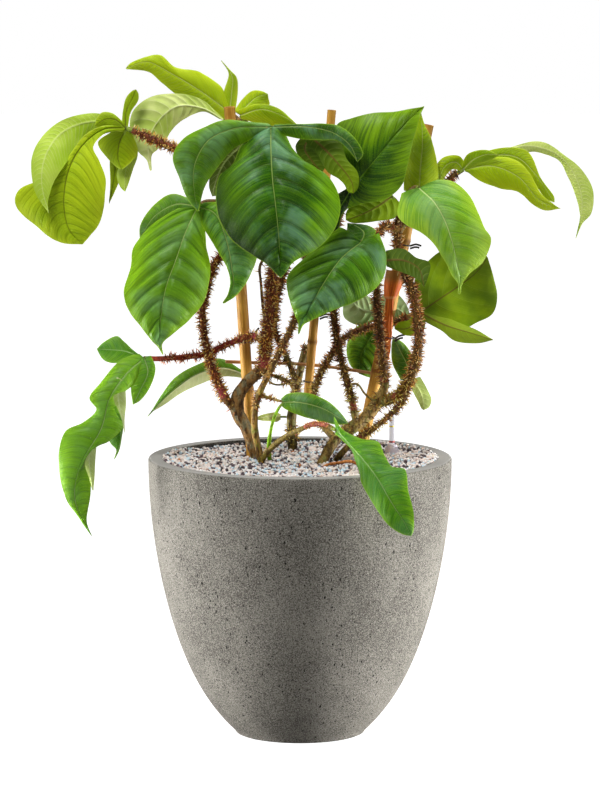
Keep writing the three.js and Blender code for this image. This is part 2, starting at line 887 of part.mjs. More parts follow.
// Stems. Each node is a list of limbs grown together; one with a leaf ends at that leaf's base, and
// its last STALK millimetres belong to the leaf. bristly is the stretch that carries bristles.
const STALK = 9;
const STEMS = {
  stem_left: [
    {
      path: [[-57, 338, 18], [-58, 363, 18], [-64, 385, 17], [-71, 406, 16], [-82, 427, 14],
        [-82, 447, 10], [-69, 467, 5], [-50, 484, 0]],
      radii: [6.5, 6.5, 7, 9.5, 9, 7.5, 7.5],
    },
    {
      path: [[-48, 480, 0], [-45, 520, -6], [-40, 560, -12], [-36, 610, -20], [-32, 660, -30],
        [-30, 720, -46],
        [-32, 770, -66], [-38, 803, -96]],
      radii: [8, 7, 6.5, 6, 5, 4.5, 4, 3.2],
      bristly: [0.01, 0.8],
      leaf: "leaf_centre",
    },
    {
      path: [[-79, 428, 13], [-92, 438, 8], [-103, 455, 2], [-113, 480, -6], [-120, 503, -10],
        [-126, 530, -10],
        [-128, 560, -8], [-122, 592, -8], [-112, 622, -6], [-98, 642, -2], [-84, 680, 4], [-88, 725, 6],
        [-118, 755, 4], [-165, 775, 2], [-200, 790, 1], [-228, 802, 2]],
      radii: [6, 5, 4.5, 4.5, 4.5, 4.5, 5, 3.5],
      bristly: [0.05, 0.97],
      leaf: "leaf_crown_left",
    },
    {
      path: [[-46, 520, -4], [-62, 528, 6], [-78, 524, 12], [-100, 515, 12], [-122, 505, 9],
        [-145, 501, -3],
        [-170, 499, -20], [-192, 498, -34], [-205, 499, -42]],
      radii: [5, 4, 4, 3.6, 3.2],
      bristly: [0.06, 0.9],
      leaf: "leaf_low_left",
    },
    {
      path: [[-34, 650, -28], [-60, 680, -34], [-95, 702, -38], [-122, 705, -46], [-135, 697, -62]],
      radii: [4.5, 4, 3.5, 3.2],
      bristly: [0.1, 0.7],
      leaf: "leaf_left",
    },
    {
      path: [[-38, 640, -24], [-52, 622, -20], [-51, 595, -16], [-48, 560, -12], [-43, 532, -8]],
      radii: [1.8, 1.8, 1.6],
    },
  ],
  stem_smooth: [
    {
      path: [[-46, 338, -6], [-54, 375, -6], [-60, 410, -10], [-56, 445, -14], [-42, 476, -20],
        [-24, 512, -16],
        [-4, 558, -4], [8, 620, 8], [-4, 690, 14], [-26, 745, 24], [-60, 795, 36], [-92, 822, 62]],
      radii: [5, 4.5, 4.5, 4.2, 4.2, 4.5, 4.5, 4, 3.5, 3, 3],
      bristly: [0.28, 0.72],
      leaf: "leaf_crown_lime",
    },
    {
      path: [[-58, 792, 35], [-80, 804, 41], [-100, 812, 44]],
      radii: [3.2, 3, 2.6],
      leaf: "leaf_crown_pale",
    },
    {
      path: [[-56, 790, 34], [-66, 804, 36], [-78, 818, 32]],
      radii: [3.2, 3, 2.6],
      leaf: "leaf_crown_right",
    },
    {
      path: [[-54, 450, -13], [-40, 446, -20], [-26, 442, -30], [-10, 440, -36]],
      radii: [2.4, 2, 1.4],
    },
    {
      path: [[-44, 472, -18], [-36, 465, -8], [-24, 464, 10], [-8, 473, 36]],
      radii: [1.4, 1.2, 1],
    },
  ],
  stem_middle: [
    {
      path: [[-8, 346, 112], [-10, 385, 106], [-11, 420, 96], [-6, 454, 84], [2, 490, 74],
        [9, 515, 70]],
      radii: [6.5, 6.5, 6, 5.5, 5.5, 5],
    },
    {
      path: [[-3, 468, 80], [-6, 470, 66], [-9, 477, 50], [-14, 492, 40], [-24, 513, 40],
        [-33, 536, 40],
        [-30, 580, 42], [-12, 640, 48], [6, 700, 44], [13, 745, 10], [13, 775, -44], [14, 790, -82]],
      radii: [4, 3.8, 4, 4, 4, 3.6, 3],
      bristly: [0.14, 0.85],
      leaf: "leaf_drooping",
    },
    {
      path: [[-9, 420, 98], [-18, 421, 99], [-27, 421, 98]],
      radii: [2.2, 1.8, 1.6],
      leaf: "leaf_sliver",
    },
    {
      path: [[-6, 462, 84], [-30, 474, 88], [-52, 478, 82], [-70, 476, 70]],
      radii: [3, 2.6, 2.2],
      leaf: "leaf_arching",
    },
  ],
  stem_right: [
    {
      path: [[18, 340, -36], [28, 358, -30], [40, 381, -20], [54, 398, -10], [72, 409, 0], [90, 424, 8],
        [104, 444, 12], [112, 462, 12]],
      radii: [6.5, 6.5, 7, 7.8, 8.5, 8.5, 8, 6],
    },
    {
      path: [[106, 440, 10], [124, 446, 0], [141, 466, -8], [151, 492, -14], [156, 525, -18],
        [153, 560, -24],
        [146, 592, -26], [136, 615, -22], [128, 645, -14], [129, 680, -10], [138, 706, -16],
        [148, 722, -38],
        [156, 723, -64]],
      radii: [6.5, 6, 5.5, 5.5, 5, 4.5, 3.2],
      bristly: [0.04, 0.84],
      leaf: "leaf_right",
    },
    {
      path: [[112, 460, 12], [110, 485, 6], [106, 520, 0], [102, 560, -4], [101, 600, -8],
        [104, 618, -24],
        [112, 628, -50]],
      radii: [6, 5.5, 5, 4.5, 3.6, 3],
      bristly: [0.03, 0.8],
      leaf: "leaf_olive",
    },
    {
      path: [[40, 352, -4], [58, 376, -8], [78, 393, -12], [100, 408, -14], [120, 425, -14],
        [136, 443, -10],
        [141, 464, -8]],
      radii: [4.5, 4, 3.6, 3.6, 4],
      bristly: [0.35, 0.95],
    },
    {
      path: [[74, 412, -2], [68, 445, -6], [59, 478, -8], [50, 515, -6], [44, 560, -2], [43, 620, 2],
        [48, 670, 2], [60, 706, -8], [70, 724, -32], [72, 728, -52]],
      radii: [4.6, 4.2, 4.2, 4, 3.6, 3.2],
      bristly: [0.04, 0.8],
      leaf: "leaf_upright",
    },
    {
      path: [[46, 392, -14], [30, 410, 4], [18, 436, 20], [22, 466, 28], [38, 498, 32], [58, 525, 38],
        [84, 538, 47], [112, 543, 51], [132, 548, 38], [148, 557, 14], [158, 560, 2]],
      radii: [4.5, 4, 4, 3.8, 3.6, 3.2],
      bristly: [0.22, 0.93],
      leaf: "leaf_behind_right",
    },
    {
      path: [[128, 668, -12], [114, 673, -22], [102, 664, -38], [90, 655, -58], [80, 652, -72]],
      radii: [4.4, 4, 3.6, 3.2],
      bristly: [0.1, 0.7],
      leaf: "leaf_middle",
    },
    {
      path: [[130, 688, -11], [128, 702, -16], [120, 712, -26]],
      radii: [3.2, 2.8, 2.6],
      leaf: "leaf_under",
    },
    {
      path: [[130, 684, -10], [142, 700, -10], [151, 710, -14], [156, 716, -16]],
      radii: [3.2, 3, 2.8],
      leaf: "leaf_yellow",
    },
    {
      path: [[129, 664, -12], [144, 686, 2], [162, 707, 8], [184, 725, 10], [202, 740, 9],
        [214, 747, 8]],
      radii: [4.4, 4, 4, 3.6, 3],
      bristly: [0.12, 0.95],
      leaf: "leaf_far_right",
    },
    {
      path: [[110, 542, 51], [107, 551, 66], [100, 560, 82]],
      radii: [3, 2.6, 2.4],
      leaf: "leaf_back_pale",
    },
    {
      path: [[106, 542, 50], [106, 536, 66], [100, 536, 84]],
      radii: [3, 2.6, 2.4],
      leaf: "leaf_back_low",
    },
    {
      path: [[141, 464, -8], [147, 464, 14], [149, 467, 34], [146, 470, 52]],
      radii: [3.2, 2.8, 2.4],
      leaf: "leaf_back_right",
    },
    {
      path: [[64, 464, -7], [76, 464, -13], [85, 452, -12], [97, 443, -4], [104, 446, 6]],
      radii: [1.5, 1.4, 1.4],
    },
  ],
  shoot_young: [
    {
      path: [[-36, 338, -13], [-39.5, 360, -15], [-41, 380, -25], [-39, 400, -42], [-34, 420, -60],
        [-27, 434, -72], [-22, 440, -78]],
      radii: [2.8, 3.2, 2.8, 2.2, 2, 1.8],
      leaf: "leaf_small",
    },
  ],
  petiole_front: [
    {
      path: [[-58, 338, -22], [-51, 362, -25], [-39, 378, -36], [-20, 394, -60], [2, 405, -88],
        [17, 411, -112], [34, 410, -140], [48, 403, -162]],
      radii: [4.2, 3.8, 3.6, 3.2, 2.8],
      bristly: [0.62, 0.94],
      leaf: "leaf_front",
    },
  ],
  root_orange: [
    {
      path: [[24, 350, -60], [36, 357, -58], [52, 360, -56], [68, 361.5, -54], [84, 352, -52]],
      radii: [1.8, 2, 2, 1.8],
    },
  ],
};

// The points of a limb from one share of its length to another
function stretch(points, from, to) {
  const curve = smooth(points);
  const steps = Math.max(3, Math.round(((to - from) * curve.getLength()) / 10));
  const share = (i) => from + ((to - from) * i) / steps;
  return Array.from({ length: steps + 1 }, (_, i) => curve.getPointAt(share(i)));
}

// A stem node's solid, and the stalks that its leaves keep
function grow(limbs, seed) {
  const parts = [];
  const stalks = {};
  limbs.forEach(({ path, radii, bristly, leaf }, i) => {
    const points = path.map(at);
    const length = smooth(points).getLength();
    const end = leaf ? 1 - (STALK + FIT_GAP) / length : 1;
    const last = radii[radii.length - 1];
    parts.push(solid(limb(leaf ? stretch(points, 0, end) : points, radii)));
    if (bristly) {
      const bare = Math.min(bristly[1], end - 0.03);
      parts.push(...bristles(points, radii, bristly[0], bare, seed + i));
    }
    if (leaf) stalks[leaf] = limb(stretch(points, 1 - STALK / length, 1), [last, last], 6, 4);
  });
  return { whole: mainBody(union(parts)), stalks };
}

const STEM_COLOURS = {
  stem_left: 0x5a3418,
  stem_smooth: 0x6b4a22,
  stem_middle: 0x5c4a20,
  stem_right: 0x5e4a1e,
  shoot_young: 0x8fb52a,
  petiole_front: 0x7a4a2a,
  root_orange: 0xd9823a,
};

const grown = {};
const stalks = {};
Object.entries(STEMS).forEach(([name, limbs], i) => {
  const made = grow(limbs, 100 * (i + 1));
  grown[name] = made.whole;
  Object.assign(stalks, made.stalks);
});

const group = new THREE.Group();

function place(name, geometry, colour, roughness = 0.7, metalness = 0) {
  const material = new THREE.MeshStandardMaterial({ color: colour, roughness, metalness });
  const mesh = new THREE.Mesh(geometry, material);
  mesh.name = name;
  group.add(mesh);
  return mesh;
}

for (const [name, blades] of Object.entries(LEAVES)) {
  const parts = blades.map((b) => solid(blade(b)));
  if (stalks[name]) parts.push(solid(stalks[name]));
  place(name, geometryOf(mainBody(union(parts))), 0x4f8f2a);
}

// The pot's outer radius at a height: nearly upright at the rim, curling in to the foot
function potRadius(z) {
  const u = 1 - z / POT_HEIGHT;
  return POT_RADIUS - POT_TAPER * u ** 2 - POT_FOOT_CURL * u ** 8;
}

const turned = (profile, sides) => {
  const geometry = new THREE.LatheGeometry(profile.map(([r, z]) => new THREE.Vector2(r, z)), sides);
  return geometry.rotateX(Math.PI / 2);
};

function planter() {
  const rise = [4, 34, 78, 130, 190, 255, 320];
  const foot = potRadius(0);
  const profile = [[0, 0], [foot - 4, 0]];
  for (const z of rise) profile.push([potRadius(z), z]);
  profile.push([POT_RADIUS, POT_HEIGHT - 2], [POT_RADIUS - 2, POT_HEIGHT]);
  profile.push([POT_RADIUS - POT_WALL + 1, POT_HEIGHT], [POT_RADIUS - POT_WALL, POT_HEIGHT - 1]);
  for (const z of [260, 150, 70]) profile.push([potRadius(z) - POT_WALL, z]);
  profile.push([potRadius(POT_FLOOR) - POT_WALL, POT_FLOOR], [0, POT_FLOOR]);
  return turned(profile, POT_SIDES);
}

const linerRadius = (z) =>
  THREE.MathUtils.mapLinear(z, POT_FLOOR, LINER_TOP, LINER_RADIUS_FOOT, LINER_RADIUS_TOP);

function liner() {
  const foot = POT_FLOOR + FIT_GAP;
  const floor = foot + LINER_WALL;
  return turned(
    [
      [0, foot],
      [linerRadius(foot), foot],
      [linerRadius(LINER_TOP), LINER_TOP],
      [linerRadius(LINER_TOP) - LINER_WALL, LINER_TOP],
      [linerRadius(floor) - LINER_WALL, floor],
      [0, floor],
    ],
    LINER_SIDES,
  );
}

// The granule fill: a plug that fits the liner, with a gently lumpy top made by a formula
function fill() {
  const floor = POT_FLOOR + FIT_GAP + LINER_WALL + FIT_GAP;
  const shoulder = FILL_LEVEL - 4;
  const radius = (z) => linerRadius(z) - LINER_WALL - FIT_GAP;
  const rings = [radius(shoulder), 145, 112, 78, 44, 16];
  const lump = (x, y) =>
    1.5 * Math.sin(x / 11 + 1.3) * Math.cos(y / 9) +
    1.1 * Math.sin(x / 5.3 - y / 6.1) +
    0.8 * Math.cos(y / 4.3 + x / 17);
  const vertices = [[0, 0, floor]];
  const ring = (r, z, lumpy) => {
    for (let i = 0; i < LINER_SIDES; i++) {
      const a = (2 * Math.PI * i) / LINER_SIDES;
      const [x, y] = [r * Math.cos(a), r * Math.sin(a)];
      vertices.push([x, y, z + (lumpy ? lump(x, y) : 0)]);
    }
  };
  ring(radius(floor), floor, false);
  ring(rings[0], shoulder, false);
  for (const r of rings.slice(1)) ring(r, FILL_LEVEL, true);
  vertices.push([0, 0, FILL_LEVEL + lump(0, 0)]);
  const index = [];
  const last = vertices.length - 1;
  for (let i = 0; i < LINER_SIDES; i++) {
    const k = (i + 1) % LINER_SIDES;
    index.push(0, 1 + k, 1 + i);
    for (let j = 0; j < rings.length; j++) {
      const [a, b] = [1 + j * LINER_SIDES + i, 1 + j * LINER_SIDES + k];
      index.push(a, b, b + LINER_SIDES, a, b + LINER_SIDES, a + LINER_SIDES);
    }
    const rim = 1 + rings.length * LINER_SIDES;
    index.push(rim + i, rim + k, last);
  }
  const geometry = new THREE.BufferGeometry();
  geometry.setAttribute("position", new THREE.Float32BufferAttribute(vertices.flat(), 3));
  geometry.setIndex(index);
  return geometry;
}

const turnTo = (direction) =>
  new THREE.Quaternion().setFromUnitVectors(new THREE.Vector3(0, 0, 1), direction.clone().normalize());

// Straight bamboo canes: top and lower end, radius, and the heights of the joints as shares. A joint
// stands out by JOINT_RISE and takes up JOINT_HALF of the cane's length to each side.
const JOINT_RISE = 0.8;
const JOINT_HALF = 0.012;
const CANES = {
  cane_left: { top: [-92, 829, 13], foot: [-59, 300, 54], radius: 7.5, joints: [0.3, 0.62] },
  cane_middle: { top: [41.5, 825, 44], foot: [9.6, 440, 50.2], radius: 5.8, joints: [0.21, 0.66] },
  cane_right: { top: [167, 806, 34], foot: [65, 300, 30], radius: 8, joints: [0.36, 0.7] },
};

function cane({ top, foot, radius, joints }) {
  const [a, b] = [at(foot), at(top)];
  const along = b.clone().sub(a);
  const stops = [0, ...joints.flatMap((j) => [j - JOINT_HALF, j, j + JOINT_HALF]), 1];
  const profile = [[0, 0]];
  for (const t of stops)
    profile.push([radius + (joints.includes(t) ? JOINT_RISE : 0), t * along.length()]);
  profile.push([0, along.length()]);
  const geometry = turned(profile, 10);
  return geometry.applyQuaternion(turnTo(along)).translate(a.x, a.y, a.z);
}

// A cane's axis at an apparent height
function caneAt(name, z) {
  const { top, foot } = CANES[name];
  const t = (z - foot[1]) / (top[1] - foot[1]);
  return at([foot[0] + (top[0] - foot[0]) * t, z, foot[2] + (top[2] - foot[2]) * t]);
}

// The cross stick lies against the backs of the left and middle canes, sticks out to the left by a
// share of the way between them, and ends behind the right cane
const STICK_RADIUS = 2.2;
const STICK_AT_LEFT = 492;
const STICK_AT_MIDDLE = 489;
const STICK_OUT = 0.32;
const STICK_END = [103, 478, 63];

function crossStick() {
  const left = caneAt("cane_left", STICK_AT_LEFT);
  const middle = caneAt("cane_middle", STICK_AT_MIDDLE);
  left.y += CANES.cane_left.radius + STICK_RADIUS + FIT_GAP;
  middle.y += CANES.cane_middle.radius + STICK_RADIUS + FIT_GAP;
  const start = left.clone().add(left.clone().sub(middle).multiplyScalar(STICK_OUT));
  const ends = [start, left, middle, at(STICK_END)];
  return limb(ends, [STICK_RADIUS, STICK_RADIUS], 8, 100);
}

// Black wire loops round the canes, each with a loose tail; slack is the loop's distance from the
// cane's surface, more where it also takes in the dried sheath
const WIRE = 0.9;
const TIES = {
  tie_left: { cane: "cane_left", z: 521, slack: 1.5, tail: [[-60, 531], [-54, 539]] },
  tie_middle: { cane: "cane_middle", z: 555, slack: 1.5, tail: [[34, 557], [39, 556]] },
  tie_small: { cane: "cane_middle", z: 468, slack: 1.5, tail: [[21, 462], [22, 456]] },
  tie_low: { cane: "cane_right", z: 528, slack: 6.8, tail: [[130, 528], [138, 530]] },
  tie_high: { cane: "cane_right", z: 649, slack: 1.5, tail: [[152, 649], [159, 647]] },
};

function tie({ cane: name, z, slack, tail }) {
  const centre = caneAt(name, z);
  const axis = caneAt(name, z + 10).sub(centre).normalize();
  const turn = turnTo(axis);
  const radius = CANES[name].radius + slack;
  const ring = new THREE.TorusGeometry(radius, WIRE, 4, 12).applyQuaternion(turn);
  ring.translate(centre.x, centre.y, centre.z);
  const start = new THREE.Vector3(radius * 0.94, -radius * 0.34, 0).applyQuaternion(turn).add(centre);
  const ends = tail.map(([x, height]) => at([x, height, start.y]));
  return geometryOf(solid(ring).add(solid(limb([start, ...ends], [WIRE, WIRE], 4, 14))));
}

// The dried leaf sheath that hugs the front of the right-hand cane, wide above, with a tail below
// that hangs straight down: rows of height, half the angle it spans, how far it stands off the cane
// and how far it is moved to the right
const SHEATH_THICKNESS = 1.4;
const SHEATH_GAP = 0.8;
const SHEATH_ROWS = [
  [616, 1.8, 3.8, -2.5],
  [600, 1.5, 3.2, -2.5],
  [588, 1, 2.6, -2.8],
  [581, 0.85, 2.6, -3],
  [577, 0.5, 1.8, -3],
  [542, 0.55, 1.8, 1.5],
  [516, 0.4, 1.4, 6.5],
  [499, 0.25, 1.2, 9.5],
];

function driedSheath() {
  const vertices = [];
  const faces = [];
  const across = 6;
  SHEATH_ROWS.forEach(([z, span, flare, aside]) => {
    const centre = caneAt("cane_right", z);
    centre.x += aside;
    for (let j = 0; j <= across; j++) {
      const a = -Math.PI / 2 + span * (j / across - 0.5) * 2;
      const r = CANES.cane_right.radius + SHEATH_GAP + flare;
      vertices.push(centre.clone().add(new THREE.Vector3(r * Math.cos(a), r * Math.sin(a), 0)));
    }
  });
  for (let i = 0; i + 1 < SHEATH_ROWS.length; i++)
    for (let j = 0; j < across; j++) {
      const a = i * (across + 1) + j;
      const c = a + across + 1;
      faces.push([a, c, c + 1], [a, c + 1, a + 1]);
    }
  return thicken(vertices, faces, SHEATH_THICKNESS);
}

// The water gauge behind the right-hand stem: apparent place, height at which that place is true
// and top, real foot, cap radius
const GAUGE = { x: 121, depth: 70, level: 400, top: 424, foot: 292, cap: 10 };
const GAUGE_BORE = 1.9;
const FLOAT_RADIUS = 1.4;
const FLOAT_TOP = 379;

function gauge() {
  const axis = at([GAUGE.x, GAUGE.level, GAUGE.depth]);
  const top = at([GAUGE.x, GAUGE.top, GAUGE.depth]).z;
  const put = (geometry) => geometry.translate(axis.x, axis.y, 0);
  const floor = GAUGE.foot + 3;
  const tube = turned(
    [
      [0, GAUGE.foot],
      [GAUGE_RADIUS, GAUGE.foot],
      [GAUGE_RADIUS, top],
      [GAUGE_BORE, top],
      [GAUGE_BORE, floor],
      [0, floor],
    ],
    12,
  );
  const low = floor + FIT_GAP;
  const float = turned([[0, low], [FLOAT_RADIUS, low], [FLOAT_RADIUS, FLOAT_TOP], [0, FLOAT_TOP]], 8);
  const seat = FILL_LEVEL + 0.2;
  const inner = GAUGE_RADIUS + FIT_GAP;
  const cap = turned(
    [
      [inner, seat],
      [GAUGE.cap, seat],
      [GAUGE.cap, seat + 5],
      [8.4, seat + 10],
      [6, seat + 13],
      [inner, seat + 14],
      [inner, seat],
    ],
    16,
  );
  return { gauge_tube: put(tube), gauge_float: put(float), gauge_cap: put(cap) };
}

// The same limbs a little thicker, for the plain holes that stems and canes stand in: the hole's
// flat sides need HOLE_EXTRA beside the gap, and a cane's hole is CANE_HOLE deep
const HOLE_EXTRA = 0.3;
const CANE_HOLE = 160;

function hole(points, radius) {
  const wide = radius + FIT_GAP + HOLE_EXTRA;
  return solid(limb(points, [wide, wide], 8, 60));
}

function substrate() {
  let body = solid(fill());
  for (const { top, foot, radius } of Object.values(CANES)) {
    const [a, b] = [at(foot), at(top)];
    const along = b.clone().sub(a).normalize();
    const start = a.clone().addScaledVector(along, -FIT_GAP);
    body = body.subtract(hole([start, start.clone().addScaledVector(along, CANE_HOLE)], radius));
  }
  const footings = [
    [STEMS.stem_left[0].path, 7],
    [STEMS.stem_smooth[0].path, 5],
    [STEMS.stem_middle[0].path, 6.5],
    [STEMS.stem_right[0].path, 7],
    [STEMS.stem_right[3].path, 4.8],
    [STEMS.shoot_young[0].path, 3.2],
    [STEMS.petiole_front[0].path, 4.7],
  ];
  for (const [path, radius] of footings) {
    const points = path.slice(0, 3).map(at);
    const back = points[0].clone().sub(points[1]).setLength(1);
    points[0].add(back);
    body = body.subtract(hole(points, radius));
  }
  body = body.subtract(hole(STEMS.root_orange[0].path.map(at), 2));
  const axis = at([GAUGE.x, GAUGE.level, GAUGE.depth]);
  const well = (r, z) => {
    const shape = turned([[0, z], [r, z], [r, FILL_LEVEL + 12], [0, FILL_LEVEL + 12]], 12);
    return solid(shape.translate(axis.x, axis.y, 0));
  };
  body = body.subtract(well(GAUGE_RADIUS + 0.6, GAUGE.foot - FIT_GAP));
  body = body.subtract(well(GAUGE.cap + 0.8, FILL_LEVEL - 0.3));
  return geometryOf(mainBody(body));
}

for (const [name, whole] of Object.entries(grown))
  place(name, geometryOf(whole), STEM_COLOURS[name], 0.8);
place("planter", planter(), 0x807c74, 0.9);
place("liner", liner(), 0x15161a, 0.6);
place("substrate", substrate(), 0xb9aca0, 0.95);
for (const [name, spec] of Object.entries(CANES)) place(name, cane(spec), 0xc08a3e, 0.55);
place("cross_stick", crossStick(), 0xb98a5a, 0.7);
place("dried_sheath", driedSheath(), 0xb5501e, 0.6);
for (const [name, spec] of Object.entries(TIES)) place(name, tie(spec), 0x16161a, 0.5);
const gaugeParts = gauge();
place("gauge_tube", gaugeParts.gauge_tube, 0xc9cbd0, 0.2);
place("gauge_float", gaugeParts.gauge_float, 0xb3261e, 0.5);
place("gauge_cap", gaugeParts.gauge_cap, 0x8d8b98, 0.5);

export default group;
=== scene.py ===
"""Looks of a potted philodendron squamiferum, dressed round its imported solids.

The plant's points are (x, z, y) in millimetres: x and z as they line up on the upright plane
through the pot's axis for an eye six metres in front, and y the depth behind that plane.
Everything that is built is in metres, +Z up, with the origin under the pot's foot.
"""

import logging
import math
from dataclasses import dataclass, field
from enum import Enum
from typing import Iterable, Sequence

import bpy
import numpy as np
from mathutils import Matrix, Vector


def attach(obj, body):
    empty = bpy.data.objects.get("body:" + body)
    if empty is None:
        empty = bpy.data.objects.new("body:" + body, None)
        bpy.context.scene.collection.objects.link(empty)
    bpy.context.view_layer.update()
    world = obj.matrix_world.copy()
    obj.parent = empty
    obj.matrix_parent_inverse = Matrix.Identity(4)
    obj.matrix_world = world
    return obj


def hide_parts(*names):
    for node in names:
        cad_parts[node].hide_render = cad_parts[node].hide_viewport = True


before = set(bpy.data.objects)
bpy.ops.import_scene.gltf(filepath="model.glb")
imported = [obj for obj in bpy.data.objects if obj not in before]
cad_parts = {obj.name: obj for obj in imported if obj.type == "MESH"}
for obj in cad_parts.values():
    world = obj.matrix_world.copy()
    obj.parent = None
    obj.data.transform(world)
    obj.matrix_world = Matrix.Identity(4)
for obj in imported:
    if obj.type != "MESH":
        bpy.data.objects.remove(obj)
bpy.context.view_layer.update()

log = logging.getLogger("philodendron")

MM = 0.001
EYE_DISTANCE = 6000.0
EYE_HEIGHT = 1229.0
POT_RADIUS = 200.0
POT_HEIGHT = 368.0
POT_WALL = 19.0
POT_TAPER = 88.0
POT_FOOT_CURL = 30.0
POT_FLOOR = 22.0
FILL_LEVEL = 361.0
LINER_TOP = 365.0
LINER_RADIUS_TOP = 179.6
LINER_RADIUS_FOOT = 82.0
LINER_WALL = 2.5
FIT_GAP = 0.4
STALK = 9.0
SAMPLES = 40
NUDGE = 1e-3
TINY = 1e-12
CLOSE = 1e-4

Point = tuple[float, ...]
Faces = list[tuple[int, ...]]
Profile = Sequence[tuple[float, float]]
Piece = bpy.types.Object
Material = bpy.types.Material
Tree = bpy.types.NodeTree
Node = bpy.types.Node
Socket = bpy.types.NodeSocket


def place(point: Point) -> np.ndarray:
    """Put an apparent (x, z, y) point in millimetres at its real place, still in millimetres.

    Args:
        point: where it is seen, with its depth last.

    Returns:
        Its place in the shared frame.
    """
    x, z, y = (*point, 0.0)[:3]
    k = 1 + y / EYE_DISTANCE
    return np.array([x * k, y, EYE_HEIGHT + (z - EYE_HEIGHT) * k])


def places(points: Iterable[Point]) -> np.ndarray:
    """Put several apparent points at their real places."""
    return np.array([place(p) for p in points])


def unit(v: np.ndarray) -> np.ndarray:
    """Scale vectors to length one along the last axis."""
    return v / np.maximum(np.linalg.norm(v, axis=-1, keepdims=True), TINY)


def ramp(low: float, high: float, v: np.ndarray) -> np.ndarray:
    """A smooth step from 0 at low to 1 at high."""
    t = np.clip((v - low) / (high - low), 0, 1)
    return t * t * (3 - 2 * t)


class Path:
    """A smooth curve through points, read by its share of length from 0 to 1."""

    def __init__(self, points: Sequence[np.ndarray]) -> None:
        """Fit the curve.

        Args:
            points: the points that it passes through, in millimetres.
        """
        p = np.asarray(points, float)
        self.ends = np.vstack([2 * p[0] - p[1], p, 2 * p[-1] - p[-2]])
        self.spans = len(p) - 1
        self._raw = np.linspace(0, 1, self.spans * SAMPLES + 1)
        dense = self.along_spans(self._raw)
        steps = np.linalg.norm(np.diff(dense, axis=0), axis=1)
        self._lengths = np.concatenate([[0], np.cumsum(steps)])
        self.length = float(self._lengths[-1])

    def along_spans(self, t: np.ndarray) -> np.ndarray:
        """Find points on the curve.

        Args:
            t: from 0 to 1, where every span between two given points takes an equal share.

        Returns:
            One point for each value.
        """
        place_in = np.clip(np.atleast_1d(t), 0, 1) * self.spans
        i = np.minimum(place_in.astype(int), self.spans - 1)
        s = (place_in - i)[:, None]
        p0, p1, p2, p3 = (self.ends[i + k] for k in range(4))
        pairs = ((p0, p1), (p1, p2), (p2, p3))
        d0, d1, d2 = (np.sqrt(np.linalg.norm(b - a, axis=1, keepdims=True)) for a, b in pairs)
        d1 = np.where(d1 < CLOSE, 1.0, d1)
        d0, d2 = np.where(d0 < CLOSE, d1, d0), np.where(d2 < CLOSE, d1, d2)
        m1 = ((p1 - p0) / d0 - (p2 - p0) / (d0 + d1) + (p2 - p1) / d1) * d1
        m2 = ((p2 - p1) / d1 - (p3 - p1) / (d1 + d2) + (p3 - p2) / d2) * d1
        bend = 3 * (p2 - p1) - 2 * m1 - m2
        twist = 2 * (p1 - p2) + m1 + m2
        return p1 + s * (m1 + s * (bend + s * twist))

    def at(self, share: np.ndarray | float) -> np.ndarray:
        """Points at shares of the length."""
        want = np.clip(np.atleast_1d(share), 0, 1) * self.length
        return self.along_spans(np.interp(want, self._lengths, self._raw))

    def heading(self, share: np.ndarray | float) -> np.ndarray:
        """Unit tangents at shares of the length."""
        s = np.atleast_1d(share)
        return unit(self.at(np.minimum(s + NUDGE, 1)) - self.at(np.maximum(s - NUDGE, 0)))

    def stretch(self, first: float, last: float, step: float) -> np.ndarray:
        """Evenly spaced points from one share of the length to another."""
        count = max(3, round((last - first) * self.length / step))
        return self.at(np.linspace(first, last, count + 1))


@dataclass
class Patch:
    """Vertices and faces of one mesh in the making, with values carried by its points."""

    points: list[np.ndarray] = field(default_factory=list)
    faces: Faces = field(default_factory=list)
    looks: list[int] = field(default_factory=list)
    marks: dict[str, list[np.ndarray]] = field(default_factory=dict)
    count: int = 0

    def add(
        self,
        points: np.ndarray,
        faces: Iterable[Sequence[int]],
        look: int | Sequence[int] = 0,
        **marks: np.ndarray,
    ) -> None:
        """Add a group of points and faces.

        Args:
            points: the new points, in millimetres.
            faces: faces that number the new points from 0.
            look: the material's place in the piece's list, or one for each face.
            marks: named values, one row for each new point.
        """
        faces = [tuple(int(k) + self.count for k in f) for f in faces]
        self.points.append(np.asarray(points, float))
        self.faces += faces
        self.looks += [look] * len(faces) if isinstance(look, int) else list(look)
        for name, values in marks.items():
            self.marks.setdefault(name, []).append(np.asarray(values, float))
        self.count += len(points)

    def piece(self, name: str, materials: Sequence[Material], crease: float = 40) -> Piece:
        """Make the Blender object.

        Args:
            name: the object's name.
            materials: its materials, in the order that the faces number them.
            crease: the angle in degrees past which an edge is shown sharp.

        Returns:
            The object, in metres, at the origin.
        """
        mesh = bpy.data.meshes.new(name)
        mesh.from_pydata((np.vstack(self.points) * MM).tolist(), [], self.faces)
        for material in materials:
            mesh.materials.append(material)
        mesh.polygons.foreach_set("material_index", self.looks)
        for mark, rows in self.marks.items():
            values = np.concatenate(rows)
            kind = "FLOAT" if values.ndim == 1 else "FLOAT_VECTOR"
            layer = mesh.attributes.new(mark, kind, "POINT")
            layer.data.foreach_set("value" if kind == "FLOAT" else "vector", values.ravel())
        mesh.update()
        mesh.polygons.foreach_set("use_smooth", [True] * len(mesh.polygons))
        mesh.set_sharp_from_angle(angle=math.radians(crease))
        mesh.validate()
        made = bpy.data.objects.new(name, mesh)
        bpy.context.scene.collection.objects.link(made)
        return made


def settle(piece: Piece, slot: str, *nodes: str) -> None:
    """Fasten a finished piece to the part's only body.

    Args:
        piece: the finished piece.
        slot: the record's material slot for the piece; not used.
        nodes: the solids that it stands for.
    """
    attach(piece, "root")
    if nodes:
        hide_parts(*nodes)
    log.info("%s: %d faces", piece.name, len(piece.data.polygons))


